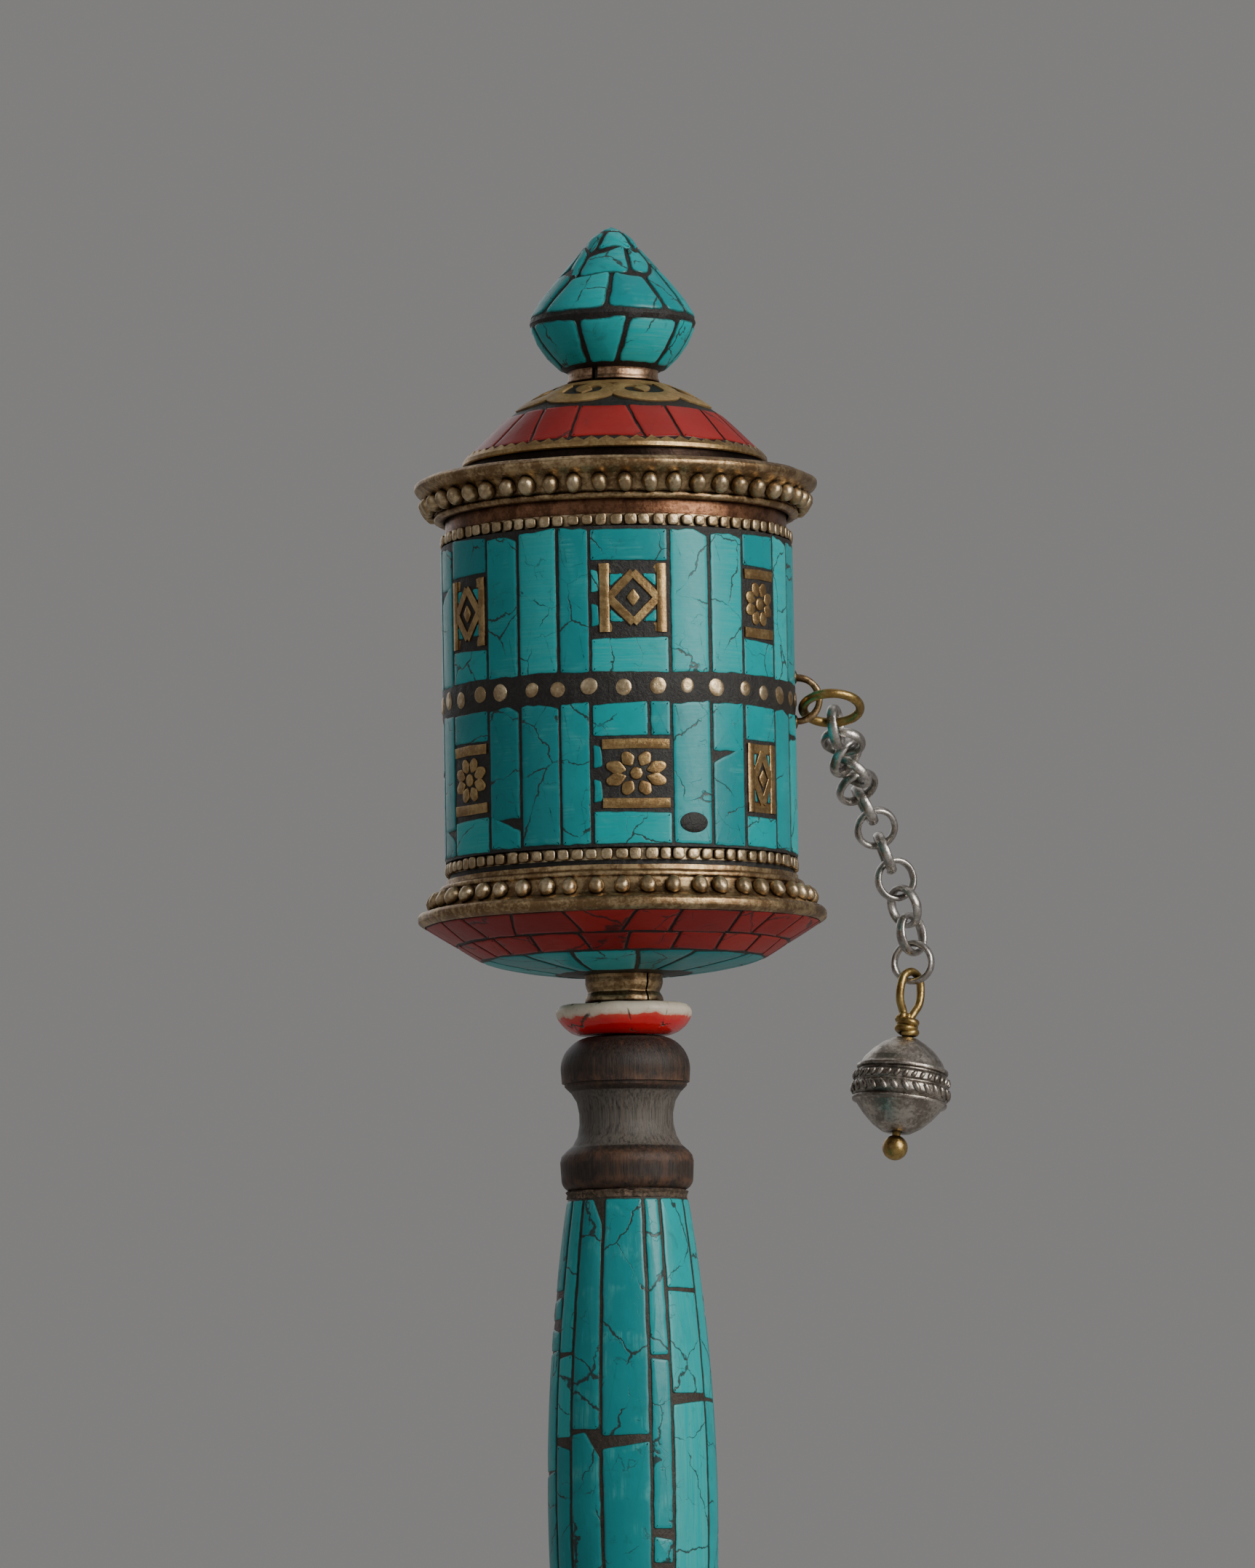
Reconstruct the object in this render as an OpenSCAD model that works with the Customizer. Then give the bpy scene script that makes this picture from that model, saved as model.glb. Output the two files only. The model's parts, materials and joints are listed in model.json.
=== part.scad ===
// Hand-held prayer wheel: a stone-inlaid drum that spins on a steel axle above a handle,
// with a lift-off lid, a finial that screws on the axle, and a weight on a chain.
// Millimetres, +Z up, origin at the centre of the handle's butt. The chain leaves the drum at +X.

/* [Handle] */
// Length of the stone-inlaid grip
grip_h = 87; // [80:1:95]
// Largest radius of the grip, at its middle
grip_r = 11.9; // [11.5:0.1:12.5]
// Radius of the grip at both ends
grip_end_r = 8.5; // [8.2:0.1:9]
// Height of the wooden pommel under the grip
pommel_h = 15.4; // [15:0.1:18]
// Radius of the steel axle
axle_r = 2; // [1.8:0.1:2.1]

/* [Drum] */
// Radius of the drum over its stone tiles
drum_r = 25; // [24.5:0.1:25.5]
// Thickness of the stone tiles
tile_t = 1.1; // [0.9:0.1:1.2]
// Number of studs in the drum's middle band
studs = 34; // [28:1:36]
// Number of cells in each beaded strip
strip_cells = 76; // [60:2:80]
// Number of pearls round the base moulding
base_pearl_count = 46; // [38:1:48]

/* [Lid] */
// Number of pearls round the crown moulding
crown_pearl_count = 48; // [40:1:50]
// Number of brass petals on the dome
petal_count = 8; // [6:1:10]

/* [Chain] */
// Outer radius of a chain link
link_r = 3.25; // [3.2:0.05:3.3]
// Width of a link's wire along the link's axis
link_w = 1.5; // [1.3:0.1:1.6]
// Thickness of a link's wire
link_t = 0.95; // [0.9:0.05:1]
// Radius of the counterweight bead
bead_r = 7.4; // [7:0.1:7.6]

/* [Hidden] */
$fn = 72;
link_count = 12;

// Colours
TURQUOISE = [0.05, 0.52, 0.52];
CORAL = [0.55, 0.06, 0.05];
BRASS = [0.6, 0.46, 0.24];
COPPER = [0.45, 0.25, 0.16];
RESIN = [0.08, 0.07, 0.06];
WOOD = [0.17, 0.11, 0.08];
STEEL = [0.5, 0.5, 0.5];
SILVER = [0.62, 0.6, 0.57];
BONE = [0.8, 0.75, 0.65];
PAPER = [0.82, 0.74, 0.55];
CLOTH = [0.75, 0.35, 0.06];
PLASTER = [0.3, 0.23, 0.17];

// Gaps
run_gap = 0.05;   // radial clearance of a bearing on the axle
face_gap = 0.1;   // between flat faces of different bodies
loose_gap = 0.3;  // between a loose piece and what it hangs on
link_gap = 0.45;  // between two links
hole_gap = 0.05;  // round a wire set in the drum's wall
seat_gap = 0.05;  // between a stone and the filler behind it

// Levels of the stack along Z
joint_h = 1.1;
neck_h = 21.9;
washer_h = 4.4;
bush_h = 3.9;
grip_z = pommel_h;
joint_z = grip_z + grip_h;
neck_z = joint_z + joint_h;
washer_z = neck_z + neck_h + face_gap;
bush_z = washer_z + washer_h + face_gap;
drum_z = bush_z + bush_h;          // lowest point of the drum's underside
crown_z = drum_z + 64.9;           // bottom of the lid's crown moulding
dome_z = drum_z + 72.6;            // lower edge of the dome
finial_z = drum_z + 84.4;          // bottom of the finial's ferrule
finial_h = 22;
axle_top = finial_z + 12;

// Sheet metal and resin
sheet = 0.6;
shell_r = drum_r - 1.8;            // outside of the drum's metal tube
cell_t = 0.9;                      // how deep the beaded strips and studs sit

// Levels on the drum wall, above drum_z
low_row = [16.6, 36.3];
high_row = [40.9, 60.8];
band_mid = 38.6;
strip_low = 15.3;
strip_high = 62;
strip_h = 1.6;
wall_top = 62.8;

// Columns of the drum's mosaic, in degrees, from the left edge of the one seen at the left:
// [width, 1 for a column with an ornament]
columns_from = -68;
columns = [
    [21, 1], [13.5, 0], [14, 0], [10.5, 0], [26, 1], [14, 0], [13.5, 0], [16.5, 1],
    [12, 0], [17, 0], [14, 0], [22, 1], [13, 0], [15, 0], [12, 0], [24, 1],
    [14, 0], [12, 0], [16, 0], [20, 1], [15, 0], [12, 0], [13, 0]
];
ornament_size = [6.6, 9.4];
grout = 0.5;

function sum_to(list, n) = n <= 0 ? 0 : list[n - 1][0] + sum_to(list, n - 1);
function column_start(i) = columns_from + sum_to(columns, i);
function link_name(k) = str("chain_link_", k < 10 ? "0" : "", k);
function unit(v) = v / norm(v);
// Points of a curve r = f between two heights, as a smooth barrel
function barrel(z0, z1, r_end, r_mid, n = 16) = [
    for (i = [0:n]) let (u = 2 * i / n - 1) [r_mid - (r_mid - r_end) * u * u, z0 + (z1 - z0) * i / n]
];
function arc(cx, cz, r, a0, a1, n = 8) = [
    for (i = [0:n]) let (a = a0 + (a1 - a0) * i / n) [cx + r * cos(a), cz + r * sin(a)]
];
function reversed(p) = [for (i = [len(p) - 1:-1:0]) p[i]];
function shifted(p, dr, dz) = [for (q = p) [q[0] + dr, q[1] + dz]];
function mix(a, b, t) = a + (b - a) * t;

// A closed ring between an outer outline and the same outline moved by [dr, dz]
module skin(outline, dr, dz) {
    rotate_extrude() polygon(concat(outline, reversed(shifted(outline, dr, dz))));
}

// Turns its children so that angle 0 faces the front, -Y, and positive angles go towards +X
module facing(a) {
    rotate([0, 0, a - 90]) children();
}

// One tile: the strip of outline between two points, cut to an angle, going inwards by [dr, dz]
module tile(p, q, dr, dz, a0, a1) {
    facing(a0) rotate_extrude(angle = a1 - a0) polygon([p, q, q + [dr, dz], p + [dr, dz]]);
}

// A row of tiles of equal angle between two points of an outline, with grout between them
module tile_row(p, q, dr, dz, count, start = 0) {
    gap = grout / ((p[0] + q[0]) / 2) * 180 / PI;
    for (i = [0:count - 1])
        tile(p, q, dr, dz, start + 360 / count * i + gap / 2, start + 360 / count * (i + 1) - gap / 2);
}

module tube(z0, z1, r_in, r_out) {
    translate([0, 0, z0]) difference() {
        cylinder(h = z1 - z0, r = r_out);
        translate([0, 0, -1]) cylinder(h = z1 - z0 + 2, r = r_in);
    }
}

// ---------------------------------------------------------------- handle

module axle_rod() {
    chamfer = 0.4;
    color(STEEL) {
        cylinder(h = axle_top - chamfer, r = axle_r);
        translate([0, 0, axle_top - chamfer]) cylinder(h = chamfer, r1 = axle_r, r2 = axle_r - chamfer);
    }
}

grip_bed_t = 1.7;
grip_outline = barrel(grip_z, grip_z + grip_h, grip_end_r, grip_r);
grip_rows = [0, 0.17, 0.42, 0.6, 0.85, 1];
grip_tile_count = 12;

module grip_core() {
    color(WOOD) difference() {
        rotate_extrude() polygon(concat(
            [[0, grip_z]], shifted(grip_outline, -grip_bed_t, 0), [[0, grip_z + grip_h]]
        ));
        translate([0, 0, grip_z - 1]) cylinder(h = grip_h + 2, r = axle_r);
    }
}

// Point of the grip's outline at a share of its height
function grip_point(t) = let (u = 2 * t - 1) [grip_r - (grip_r - grip_end_r) * u * u, grip_z + grip_h * t];

// One strip of the grip's stone: the curved outline between two heights, cut to an angle
module grip_tile(t0, t1, a0, a1) {
    steps = max(2, ceil((t1 - t0) * 16));
    edge = [for (i = [0:steps]) grip_point(mix(t0, t1, i / steps))];
    facing(a0) rotate_extrude(angle = a1 - a0) polygon(concat(edge, reversed(shifted(edge, -tile_t, 0))));
}

module grip_tiles() {
    gap_t = grout / grip_h;
    gap_a = grout / grip_r * 180 / PI;
    step_a = 360 / grip_tile_count;
    color(TURQUOISE)
        for (c = [0:grip_tile_count - 1], r = [0:len(grip_rows) - 2]) {
            // Neighbouring columns break at different heights
            lift = c % 2 == 0 ? 0 : 0.07;
            t0 = r == 0 ? 0.004 : grip_rows[r] + lift;
            t1 = r == len(grip_rows) - 2 ? 0.996 : grip_rows[r + 1] + lift;
            grip_tile(t0 + gap_t / 2, t1 - gap_t / 2, c * step_a + gap_a / 2, (c + 1) * step_a - gap_a / 2);
        }
}

module grip_bed() {
    // The filler between the wooden core and the backs of the stones
    seat = tile_t + seat_gap;
    color(RESIN) skin(shifted(grip_outline, -seat, 0), seat - grip_bed_t, 0);
}

module grip_joint_ring() {
    color(PLASTER) tube(joint_z, joint_z + joint_h, axle_r, grip_end_r - 0.3);
}

// Heights in this outline are above neck_z
neck_outline = concat(
    [[0, 0], [8.2, 0]],
    arc(7.6, 1.7, 1.7, -70, 0, 6),
    [[9.4, 4.2], [9.2, 5], [8.7, 5.6], [7.7, 6.5], [7, 7.8], [6.65, 9.5]],
    [[6.65, 11], [7, 12.7], [7.7, 13.9], [8.6, 14.8], [8.65, 15.2], [9, 15.3]],
    arc(4.4, 17.2, 4.7, 0, 90, 12),
    [[0, 21.9]]
);

module neck_post() {
    color(WOOD) difference() {
        translate([0, 0, neck_z]) rotate_extrude() polygon(neck_outline);
        translate([0, 0, neck_z - 1]) cylinder(h = neck_h + 2, r = axle_r);
    }
}

pommel_washer_h = 1;

module pommel() {
    top = pommel_h;
    outline = concat(
        [[0, pommel_washer_h], [5.2, pommel_washer_h]],
        arc(4.6, 5.4, 4.4, -75, 0, 10),
        [[9.1, 6.6], [8.6, 7.2]],
        arc(9.8, 9.2, 2.3, 240, 130, 8),
        [[8.6, 11.6], [8.9, 12.2], [8.9, 14.2], [8.4, top], [0, top]]
    );
    color(WOOD) difference() {
        rotate_extrude() polygon(outline);
        cylinder(h = 40, r = axle_r);
    }
}

module pommel_washer() {
    color(BRASS) tube(0, pommel_washer_h, axle_r, 4.6);
}

// ---------------------------------------------------------------- bone washer

module bone_washer() {
    outline = [
        [axle_r + loose_gap, 0], [6.5, 0], [8.2, 0.9], [9.2, 2], [9.65, 3],
        [9.4, 3.9], [8.5, washer_h], [axle_r + loose_gap, washer_h]
    ];
    color(BONE) translate([0, 0, washer_z]) rotate_extrude() polygon(outline);
}

// ---------------------------------------------------------------- drum

// Underside of the drum, from the bush to the rim, above drum_z
under_turquoise = [[9, 0.2], [19.7, 2.1]];
under_coral = [[19.7, 2.1], [drum_r + 3.6, 7.6]];
under_in = [-0.25, 1];             // direction from the underside into the drum
coral_rim = 0.9;                   // width of the moulding's lip under the outermost stones

module drum_shell() {
    color(BRASS) tube(drum_z + 10, drum_z + wall_top + 4.2, shell_r - sheet, shell_r);
}

module drum_floor() {
    outline = [
        [axle_r + run_gap, 1.4], [9, 1.6], [19.3, 3.5], [drum_r + 2.4, 8.4], [drum_r + 2.4, 9.1],
        [shell_r, 10], [shell_r - sheet, 10], [19, 4.3], [9, 2.4], [axle_r + run_gap, 2.4]
    ];
    color(COPPER) translate([0, 0, drum_z]) rotate_extrude() polygon(outline);
}

module base_ring() {
    // A solid moulding: the pearls sit in its cove
    outline = [
        [drum_r + 2.4, 8.4], [drum_r + 2.66, 8.35], [drum_r + 2.96, 7.21], [drum_r + 3.6, 7.6],
        [drum_r + 3.95, 7.9], [drum_r + 3.95, 8.8], [drum_r + 3.5, 9.3],
        [drum_r + 2.3, 9.6], [drum_r + 1.1, 10.6], [drum_r + 0.6, 11.9], [drum_r + 0.5, 12.5],
        [drum_r - 0.1, 13.2], [drum_r - 0.1, 13.8], [shell_r, 13.8], [shell_r, 10], [drum_r + 2.4, 9.1]
    ];
    color(BRASS) translate([0, 0, drum_z]) rotate_extrude() polygon(outline);
}

// A row of half-sunk pearls round the drum's axis
module pearls(count, r, z, size, start = 0) {
    for (i = [0:count - 1])
        facing(start + 360 / count * i) translate([r, 0, z]) sphere(r = size);
}

module base_pearls() {
    color(BRASS) difference() {
        pearls(base_pearl_count, drum_r + 1.9, drum_z + 10.9, 1.3);
        base_ring();
    }
}

module under_tiles(edge, count, start) {
    p = edge[0];
    q = edge[1];
    translate([0, 0, drum_z]) tile_row(p, q, under_in[0] * tile_t, under_in[1] * tile_t, count, start);
}

module base_coral_tiles() {
    p = under_coral[0];
    q = under_coral[1];
    half = mix(p, q, 0.42);
    slot = unit(q - p) * grout / 2;
    rim = unit(q - p) * coral_rim;
    color(CORAL) {
        under_tiles([p + slot, half - slot], 18, 4);
        under_tiles([half + slot, q - rim], 20, 0);
    }
}

module base_turquoise_tiles() {
    p = under_turquoise[0];
    q = under_turquoise[1];
    slot = unit(q - p) * grout / 2;
    color(TURQUOISE) under_tiles([p, q - slot], 12, 8);
}

module base_bed() {
    // The filler behind the underside's stones, on the drum's floor
    seat = under_in * (tile_t + seat_gap);
    outline = [
        [5.6, 0], [8.8, 0.17], [8.5, 1.3], under_turquoise[0] + seat, under_turquoise[1] + seat,
        [drum_r + 2.3, 8.17], [drum_r + 2.4, 8.4], [19.3, 3.5], [9, 1.6], [5.6, 1.5]
    ];
    color(RESIN) translate([0, 0, drum_z]) rotate_extrude() polygon(outline);
}

module lower_bush() {
    seam = 0.35;
    outline = [
        [axle_r + run_gap, 0], [5.3, 0], [5.4, 0.5], [5.3, 1.2], [5, 1.7], [5.05, 2], [5.35, 2.6],
        [5.45, 3.4], [5.5, bush_h + 1.4], [axle_r + run_gap, bush_h + 1.4]
    ];
    color(BRASS) difference() {
        translate([0, 0, bush_z]) rotate_extrude() polygon(outline);
        // The open seam of the rolled strip
        facing(38) translate([4.1, -seam / 2, bush_z - 1]) cube([3, seam, bush_h]);
    }
}

module drum_tile(i, z0, z1) {
    gap = grout / drum_r * 90 / PI;
    a0 = column_start(i) + gap;
    a1 = column_start(i) + columns[i][0] - gap;
    tile([drum_r, drum_z + z0], [drum_r, drum_z + z1], -tile_t, 0, a0, a1);
}

module drum_tiles(row) {
    middle = (row[0] + row[1]) / 2;
    half = ornament_size[1] / 2 + 0.6;
    for (i = [0:len(columns) - 1])
        if (columns[i][1] == 0)
            drum_tile(i, row[0], row[1]);
        else {
            drum_tile(i, row[0], middle - half);
            drum_tile(i, middle + half, row[1]);
        }
}

module drum_tiles_upper() {
    color(TURQUOISE) difference() {
        drum_tiles(high_row);
        eyelet_legs(hole_gap);
    }
}

module drum_tiles_lower() {
    color(TURQUOISE) difference() {
        drum_tiles(low_row);
        eyelet_legs(hole_gap);
    }
}

// A four-petalled flower with a square heart
module flower() {
    w = ornament_size[0] / 2;
    h = ornament_size[1] / 2;
    heart = 0.9;
    neck = 0.7;
    difference() {
        polygon([
            [0, -h], [w * 0.6, -h * 0.6], [neck, -neck], [w, -neck - 1.4], [w, neck + 1.4], [neck, neck],
            [w * 0.6, h * 0.6], [0, h], [-w * 0.6, h * 0.6], [-neck, neck],
            [-w, neck + 1.4], [-w, -neck - 1.4], [-neck, -neck], [-w * 0.6, -h * 0.6]
        ]);
        square(heart, center = true);
    }
}

module ornament(kind, a, z) {
    intersection() {
        tube(z - 8, z + 8, drum_r - tile_t, drum_r);
        facing(a) translate([drum_r - 4, 0, z]) rotate([90, 0, 90]) linear_extrude(6)
            if (kind == 0) flower();
            else fret_block();
    }
}

// A stepped frame with a bar across: the fret as separate strokes
module fret_block() {
    w = ornament_size[0] / 2;
    h = ornament_size[1] / 2;
    s = 1.5;
    difference() {
        square([2 * w, 2 * h], center = true);
        translate([-w + s, h - 2 * s - 1]) square([2 * w - s + 1, s * 0.7 + 0.2]);
        translate([-w - 1, -0.6]) square([2 * w - s + 1, 1.2]);
        translate([-w + s, -h + s]) square([2 * w - s + 1, 1.2]);
    }
}

module drum_ornaments() {
    color(BRASS)
        for (i = [0:len(columns) - 1], row = [low_row, high_row])
            if (columns[i][1] == 1)
                ornament(
                    (i + (row == low_row ? 0 : 1)) % 2,
                    column_start(i) + columns[i][0] / 2,
                    drum_z + (row[0] + row[1]) / 2
                );
}

module drum_studs() {
    stud_r = 1.3;
    color(BRASS)
        for (i = [0:studs - 1])
            facing(360 / studs * i + 2) translate([drum_r - tile_t, 0, drum_z + band_mid]) rotate([0, 90, 0])
                cylinder(h = tile_t + 0.05, r = stud_r);
}

module bead_strip(z) {
    step = 360 / strip_cells;
    color(BRASS)
        for (i = [0:strip_cells - 1])
            tile(
                [drum_r, z - strip_h / 2], [drum_r, z + strip_h / 2],
                -cell_t, 0, i * step, (i + 0.78) * step
            );
}

module bead_strip_top() {
    bead_strip(drum_z + strip_high);
}

module bead_strip_bottom() {
    bead_strip(drum_z + strip_low);
}

module strip_groove(z) {
    tube(z - strip_h / 2, z + strip_h / 2, drum_r - cell_t, drum_r + 1);
}

module drum_bed() {
    color(RESIN) difference() {
        tube(drum_z + 13.8, drum_z + wall_top, shell_r, drum_r - 0.1);
        drum_tiles(low_row);
        drum_tiles(high_row);
        drum_ornaments();
        drum_studs();
        strip_groove(drum_z + strip_low);
        strip_groove(drum_z + strip_high);
        eyelet_legs(hole_gap);
    }
}

module drum_neck() {
    color(COPPER) tube(drum_z + wall_top, drum_z + wall_top + 4.2, shell_r, drum_r - 0.85);
}

scroll_z = [drum_z + 11, drum_z + 63];

module scroll_tube() {
    color(COPPER) tube(drum_z + 2.4, scroll_z[1], axle_r + 0.6, axle_r + 1.2);
}

module mantra_scroll() {
    color(PAPER) tube(scroll_z[0], scroll_z[1] - 1, axle_r + 1.2, 20.6);
}

module scroll_wrap() {
    color(CLOTH) tube(scroll_z[0], scroll_z[1] - 1, 20.6, 21);
}

module scroll_ties() {
    color(CLOTH)
        for (z = [scroll_z[0] + 12, scroll_z[1] - 14])
            translate([0, 0, z]) rotate_extrude() translate([21.5, 0]) circle(r = 0.5);
}

eyelet_r = 3.1;
eyelet_wire = 0.5;
eyelet_c = [drum_r + 0.3, 0, drum_z + 38.9];

// The staple's two straight legs, or with spare > 0 the holes that they sit in
module eyelet_legs(spare = 0) {
    leg = 1.6 + spare;
    for (s = [-1, 1])
        translate(eyelet_c + [-leg, 0, s * eyelet_r]) rotate([0, 90, 0])
            cylinder(h = leg, r = eyelet_wire + spare);
}

module chain_eyelet() {
    // A staple: half a ring whose legs run into the drum's resin
    color(BRASS) {
        translate(eyelet_c) rotate([90, 0, 0]) rotate([0, 0, -90]) rotate_extrude(angle = 180)
            translate([eyelet_r, 0]) circle(r = eyelet_wire);
        eyelet_legs();
    }
}

// ---------------------------------------------------------------- lid

module crown_ring() {
    // Heights above crown_z
    outline = [
        [drum_r - 0.55, 0], [drum_r + 0.5, 0], [drum_r + 0.85, 0.4], [drum_r + 0.8, 0.9],
        [drum_r + 0.9, 1.2], [drum_r + 1.3, 2.2], [drum_r + 2.1, 3.3], [drum_r + 3.1, 3.9],
        [drum_r + 3.6, 4.4], [drum_r + 3.65, 5.2], [drum_r + 3.2, 5.9], [drum_r + 2.6, 5.7],
        [drum_r + 1.6, 4.6], [drum_r - 0.55, 3.4]
    ];
    color(BRASS) translate([0, 0, crown_z]) rotate_extrude() polygon(outline);
}

module crown_pearls() {
    color(BRASS) difference() {
        pearls(crown_pearl_count, drum_r + 2, crown_z + 2.1, 1.25, 3);
        crown_ring();
    }
}

module lid_plate() {
    // A pressed plate with the sleeve that centres the lid in the drum
    color(COPPER) translate([0, 0, crown_z]) rotate_extrude() polygon([
        [shell_r - sheet - 0.6, -5], [shell_r - sheet - 0.08, -5], [shell_r - sheet - 0.08, 2.2],
        [drum_r - 0.55, 2.2],
        [drum_r - 0.55, 3.1], [21, 4.8], [21, 7.7], [20.3, 7.7], [20.3, 4.4], [shell_r - sheet - 0.6, 2.9]
    ]);
}

// The dome's visible outline above dome_z, from its edge up to the flared neck
dome_outline = [
    [21.2, 1.2], [19.6, 2.7], [18.3, 4], [17, 5.3], [15.4, 6.8], [14.4, 7.6],
    [12.8, 8.8], [10.8, 10], [8.6, 10.9], [7.3, 11.3]
];
tile_in = [0.6, 0.65];             // from a tile's face to its back
// The same outline at the bottom of the resin bed
dome_metal = concat([[20.3, 0.2]], [for (i = [1:8]) dome_outline[i] + [-1, -1.1]], [[6.4, 10.15]]);

module lid_dome() {
    inner = [for (i = [1:8]) dome_metal[i] + [-0.5, -0.6]];
    color(COPPER) translate([0, 0, dome_z]) rotate_extrude()
        polygon(concat([[20.3, -1]], dome_metal, [[6.4, 9.5]], reversed(inner), [[19.7, -0.2], [19.7, -1]]));
}

module lid_edge_band() {
    color(BRASS) translate([0, 0, dome_z]) rotate_extrude() polygon([
        [20.3, 0], [21.5, 0], [21.5, 0.7], [21.2, 1.2], [20.3, 1.2]
    ]);
}

module lid_coral_tiles() {
    count = 17;
    gap = grout / 18 * 90 / PI;
    edge = [[20.6, 1.8], dome_outline[1], dome_outline[2], dome_outline[3], dome_outline[4] + [0.3, -0.25]];
    color(CORAL) translate([0, 0, dome_z])
        for (i = [0:count - 1])
            facing(360 / count * i + gap) rotate_extrude(angle = 360 / count - 2 * gap)
                polygon(concat(edge, reversed([for (p = edge) p - tile_in])));
}

module lid_petals() {
    edge = [for (i = [5:8]) dome_outline[i]];
    step = 360 / petal_count;
    color(BRASS) translate([0, 0, dome_z])
        for (i = [0:petal_count - 1])
            facing(i * step + 4) rotate_extrude(angle = step - 4)
                polygon(concat(edge, reversed([for (p = edge) p - tile_in])));
}

module lid_bed() {
    // The filler under the tiles, as thick as the space between them and the dome
    top = [for (i = [1:9]) dome_outline[i] - tile_in];
    color(RESIN) translate([0, 0, dome_z]) rotate_extrude()
        polygon(concat([[20.3, 0.85], [20, 1.15]], top, [[6.4, 10.75]], reversed(dome_metal)));
}

module top_bush() {
    // The dome's top bearing on the axle, with the flared neck above the petals
    outline = [
        [axle_r + run_gap, 8.8], [4.6, 8.8], [6.4, 9.5], [6.4, 11.45], [7.3, 11.3], [6.9, 11.5], [6.6, 11.6],
        [axle_r + run_gap, 11.6]
    ];
    color(COPPER) translate([0, 0, dome_z]) rotate_extrude() polygon(outline);
}

// ---------------------------------------------------------------- finial

ferrule_h = 1.8;
// Outline of the knob above finial_z
knob_low = [[6.4, 1.6], [7.6, 2.3], [9.3, 4], [10.7, 6], [11.7, 8]];
knob_wide = [11.95, 8.6];
knob_high = [[11.6, 9.7], [10.4, 11.6], [7.9, 14.8], [5.1, 18], [2.5, 20.8]];
knob_tip = arc(0, finial_h - 3.2, 3.2, 42, 90, 5);
knob_bed_t = 1.6;

module finial_ferrule() {
    slot = 0.9;
    color(BRASS) difference() {
        translate([0, 0, finial_z]) rotate_extrude() polygon([
            [5.6, 0], [6.45, 0], [6.35, 0.5], [6.3, ferrule_h], [5.6, ferrule_h]
        ]);
        // The open seam of the rolled strip
        facing(-24) translate([5, -slot / 2, finial_z - 1]) cube([3, slot, 4]);
    }
}

module finial_core() {
    high = [for (p = knob_high) p - [knob_bed_t, 0]];
    color(WOOD) difference() {
        translate([0, 0, finial_z]) rotate_extrude() polygon(concat(
            [[0, 0.2], [5.6, 0.2], [5.6, ferrule_h]], [[5.4, 2.3], [7.7, 4], [9.1, 6], [10.1, 8]],
            [knob_wide - [knob_bed_t, 0]], [for (i = [0:3]) high[i]], [[0, 18.9]]
        ));
        translate([0, 0, finial_z - 1]) cylinder(h = 13.6, r = axle_r + 0.4);
        translate([0, 0, finial_z + 3]) cylinder(h = 5, r = 4.1, $fn = 6);
    }
}

module finial_nut() {
    color(BRASS) difference() {
        translate([0, 0, finial_z + 3]) cylinder(h = 5, r = 4.1, $fn = 6);
        translate([0, 0, finial_z]) cylinder(h = 12, r = axle_r + run_gap);
    }
}

// Rings of tiles between the knots of the knob's outline: [from, to, count, start]
knob_rings = [
    [[6.9, 1.95], [11.4, 7.4], 9, 10], [[11.75, 9.2], [8.9, 13.6], 10, 0],
    [[8.5, 14.1], [4.9, 18.2], 8, 20], [[4.6, 18.6], [1.6, 21.2], 5, 40]
];
knob_in = 0.9;

module finial_tiles() {
    color(TURQUOISE) translate([0, 0, finial_z])
        for (r = knob_rings)
            tile_row(r[0], r[1], -knob_in, 0, r[2], r[3]);
}

module finial_bed() {
    inner = concat(
        [[5.6, ferrule_h], [5.4, 2.3], [7.7, 4], [9.1, 6], [10.1, 8], knob_wide - [knob_bed_t, 0]],
        [for (i = [0:3]) knob_high[i] - [knob_bed_t, 0]], [[0, 18.9]]
    );
    color(RESIN) difference() {
        translate([0, 0, finial_z]) rotate_extrude() polygon(concat(
            [[5.6, ferrule_h], [6.3, ferrule_h]], [for (p = knob_low) p - [0.1, 0]], [knob_wide - [0.1, 0]],
            [for (p = knob_high) p - [0.1, 0]], knob_tip, reversed(inner)
        ));
        finial_tiles();
    }
}

// ---------------------------------------------------------------- chain

ring_r = 4.05;                     // centreline of the jump ring
ring_wire = 0.65;
ring_c = [drum_r + 5.1, 0, eyelet_c[2] - 1.3];
ring_tilt = 25;                    // the ring's near side stands this much higher

module torus(r, wire) {
    rotate_extrude() translate([r, 0]) circle(r = wire);
}

module jump_ring() {
    color(BRASS) translate(ring_c) rotate([-ring_tilt, 0, 0]) torus(ring_r, ring_wire);
}

// Each link's direction: [lean from straight down towards +X, dip towards +Y, roll of its plane]
link_way = [
    [30, 62, 27], [36, 58, 130], [14, 62, 232], [32, 56, 335], [14, 56, 437], [27, 40, 540],
    [27, 30, 630], [20, 22, 720], [26, 12, 792], [18, 4, 864], [8, 0, 936], [-4, 0, 1008]
];
pin_way = [-7, -6, 1125];
link_hole = link_r - link_t;       // inside radius
link_mid = link_r - link_t / 2;    // centreline of the wire
link_grip = link_hole - link_t / 2 - link_gap;  // from the last link's wire to this link's centre

function way(w) = [sin(w[0]) * cos(w[1]), sin(w[1]), -cos(w[0]) * cos(w[1])];
function across(w) = unit(cross(way(w), [0, 1, 0]));
function normal(w) = let (a = across(w), b = cross(way(w), a)) a * cos(w[2]) + b * sin(w[2]);
function in_plane(v, n) = unit(v - n * (v * n));

// Where the first link meets the jump ring: on the ring's far side, towards +X
ring_meet_a = 84;
ring_meet = ring_c + ring_r * [
    cos(ring_meet_a), sin(ring_meet_a) * cos(ring_tilt), -sin(ring_meet_a) * sin(ring_tilt)
];

all_ways = concat(link_way, [pin_way]);
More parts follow.
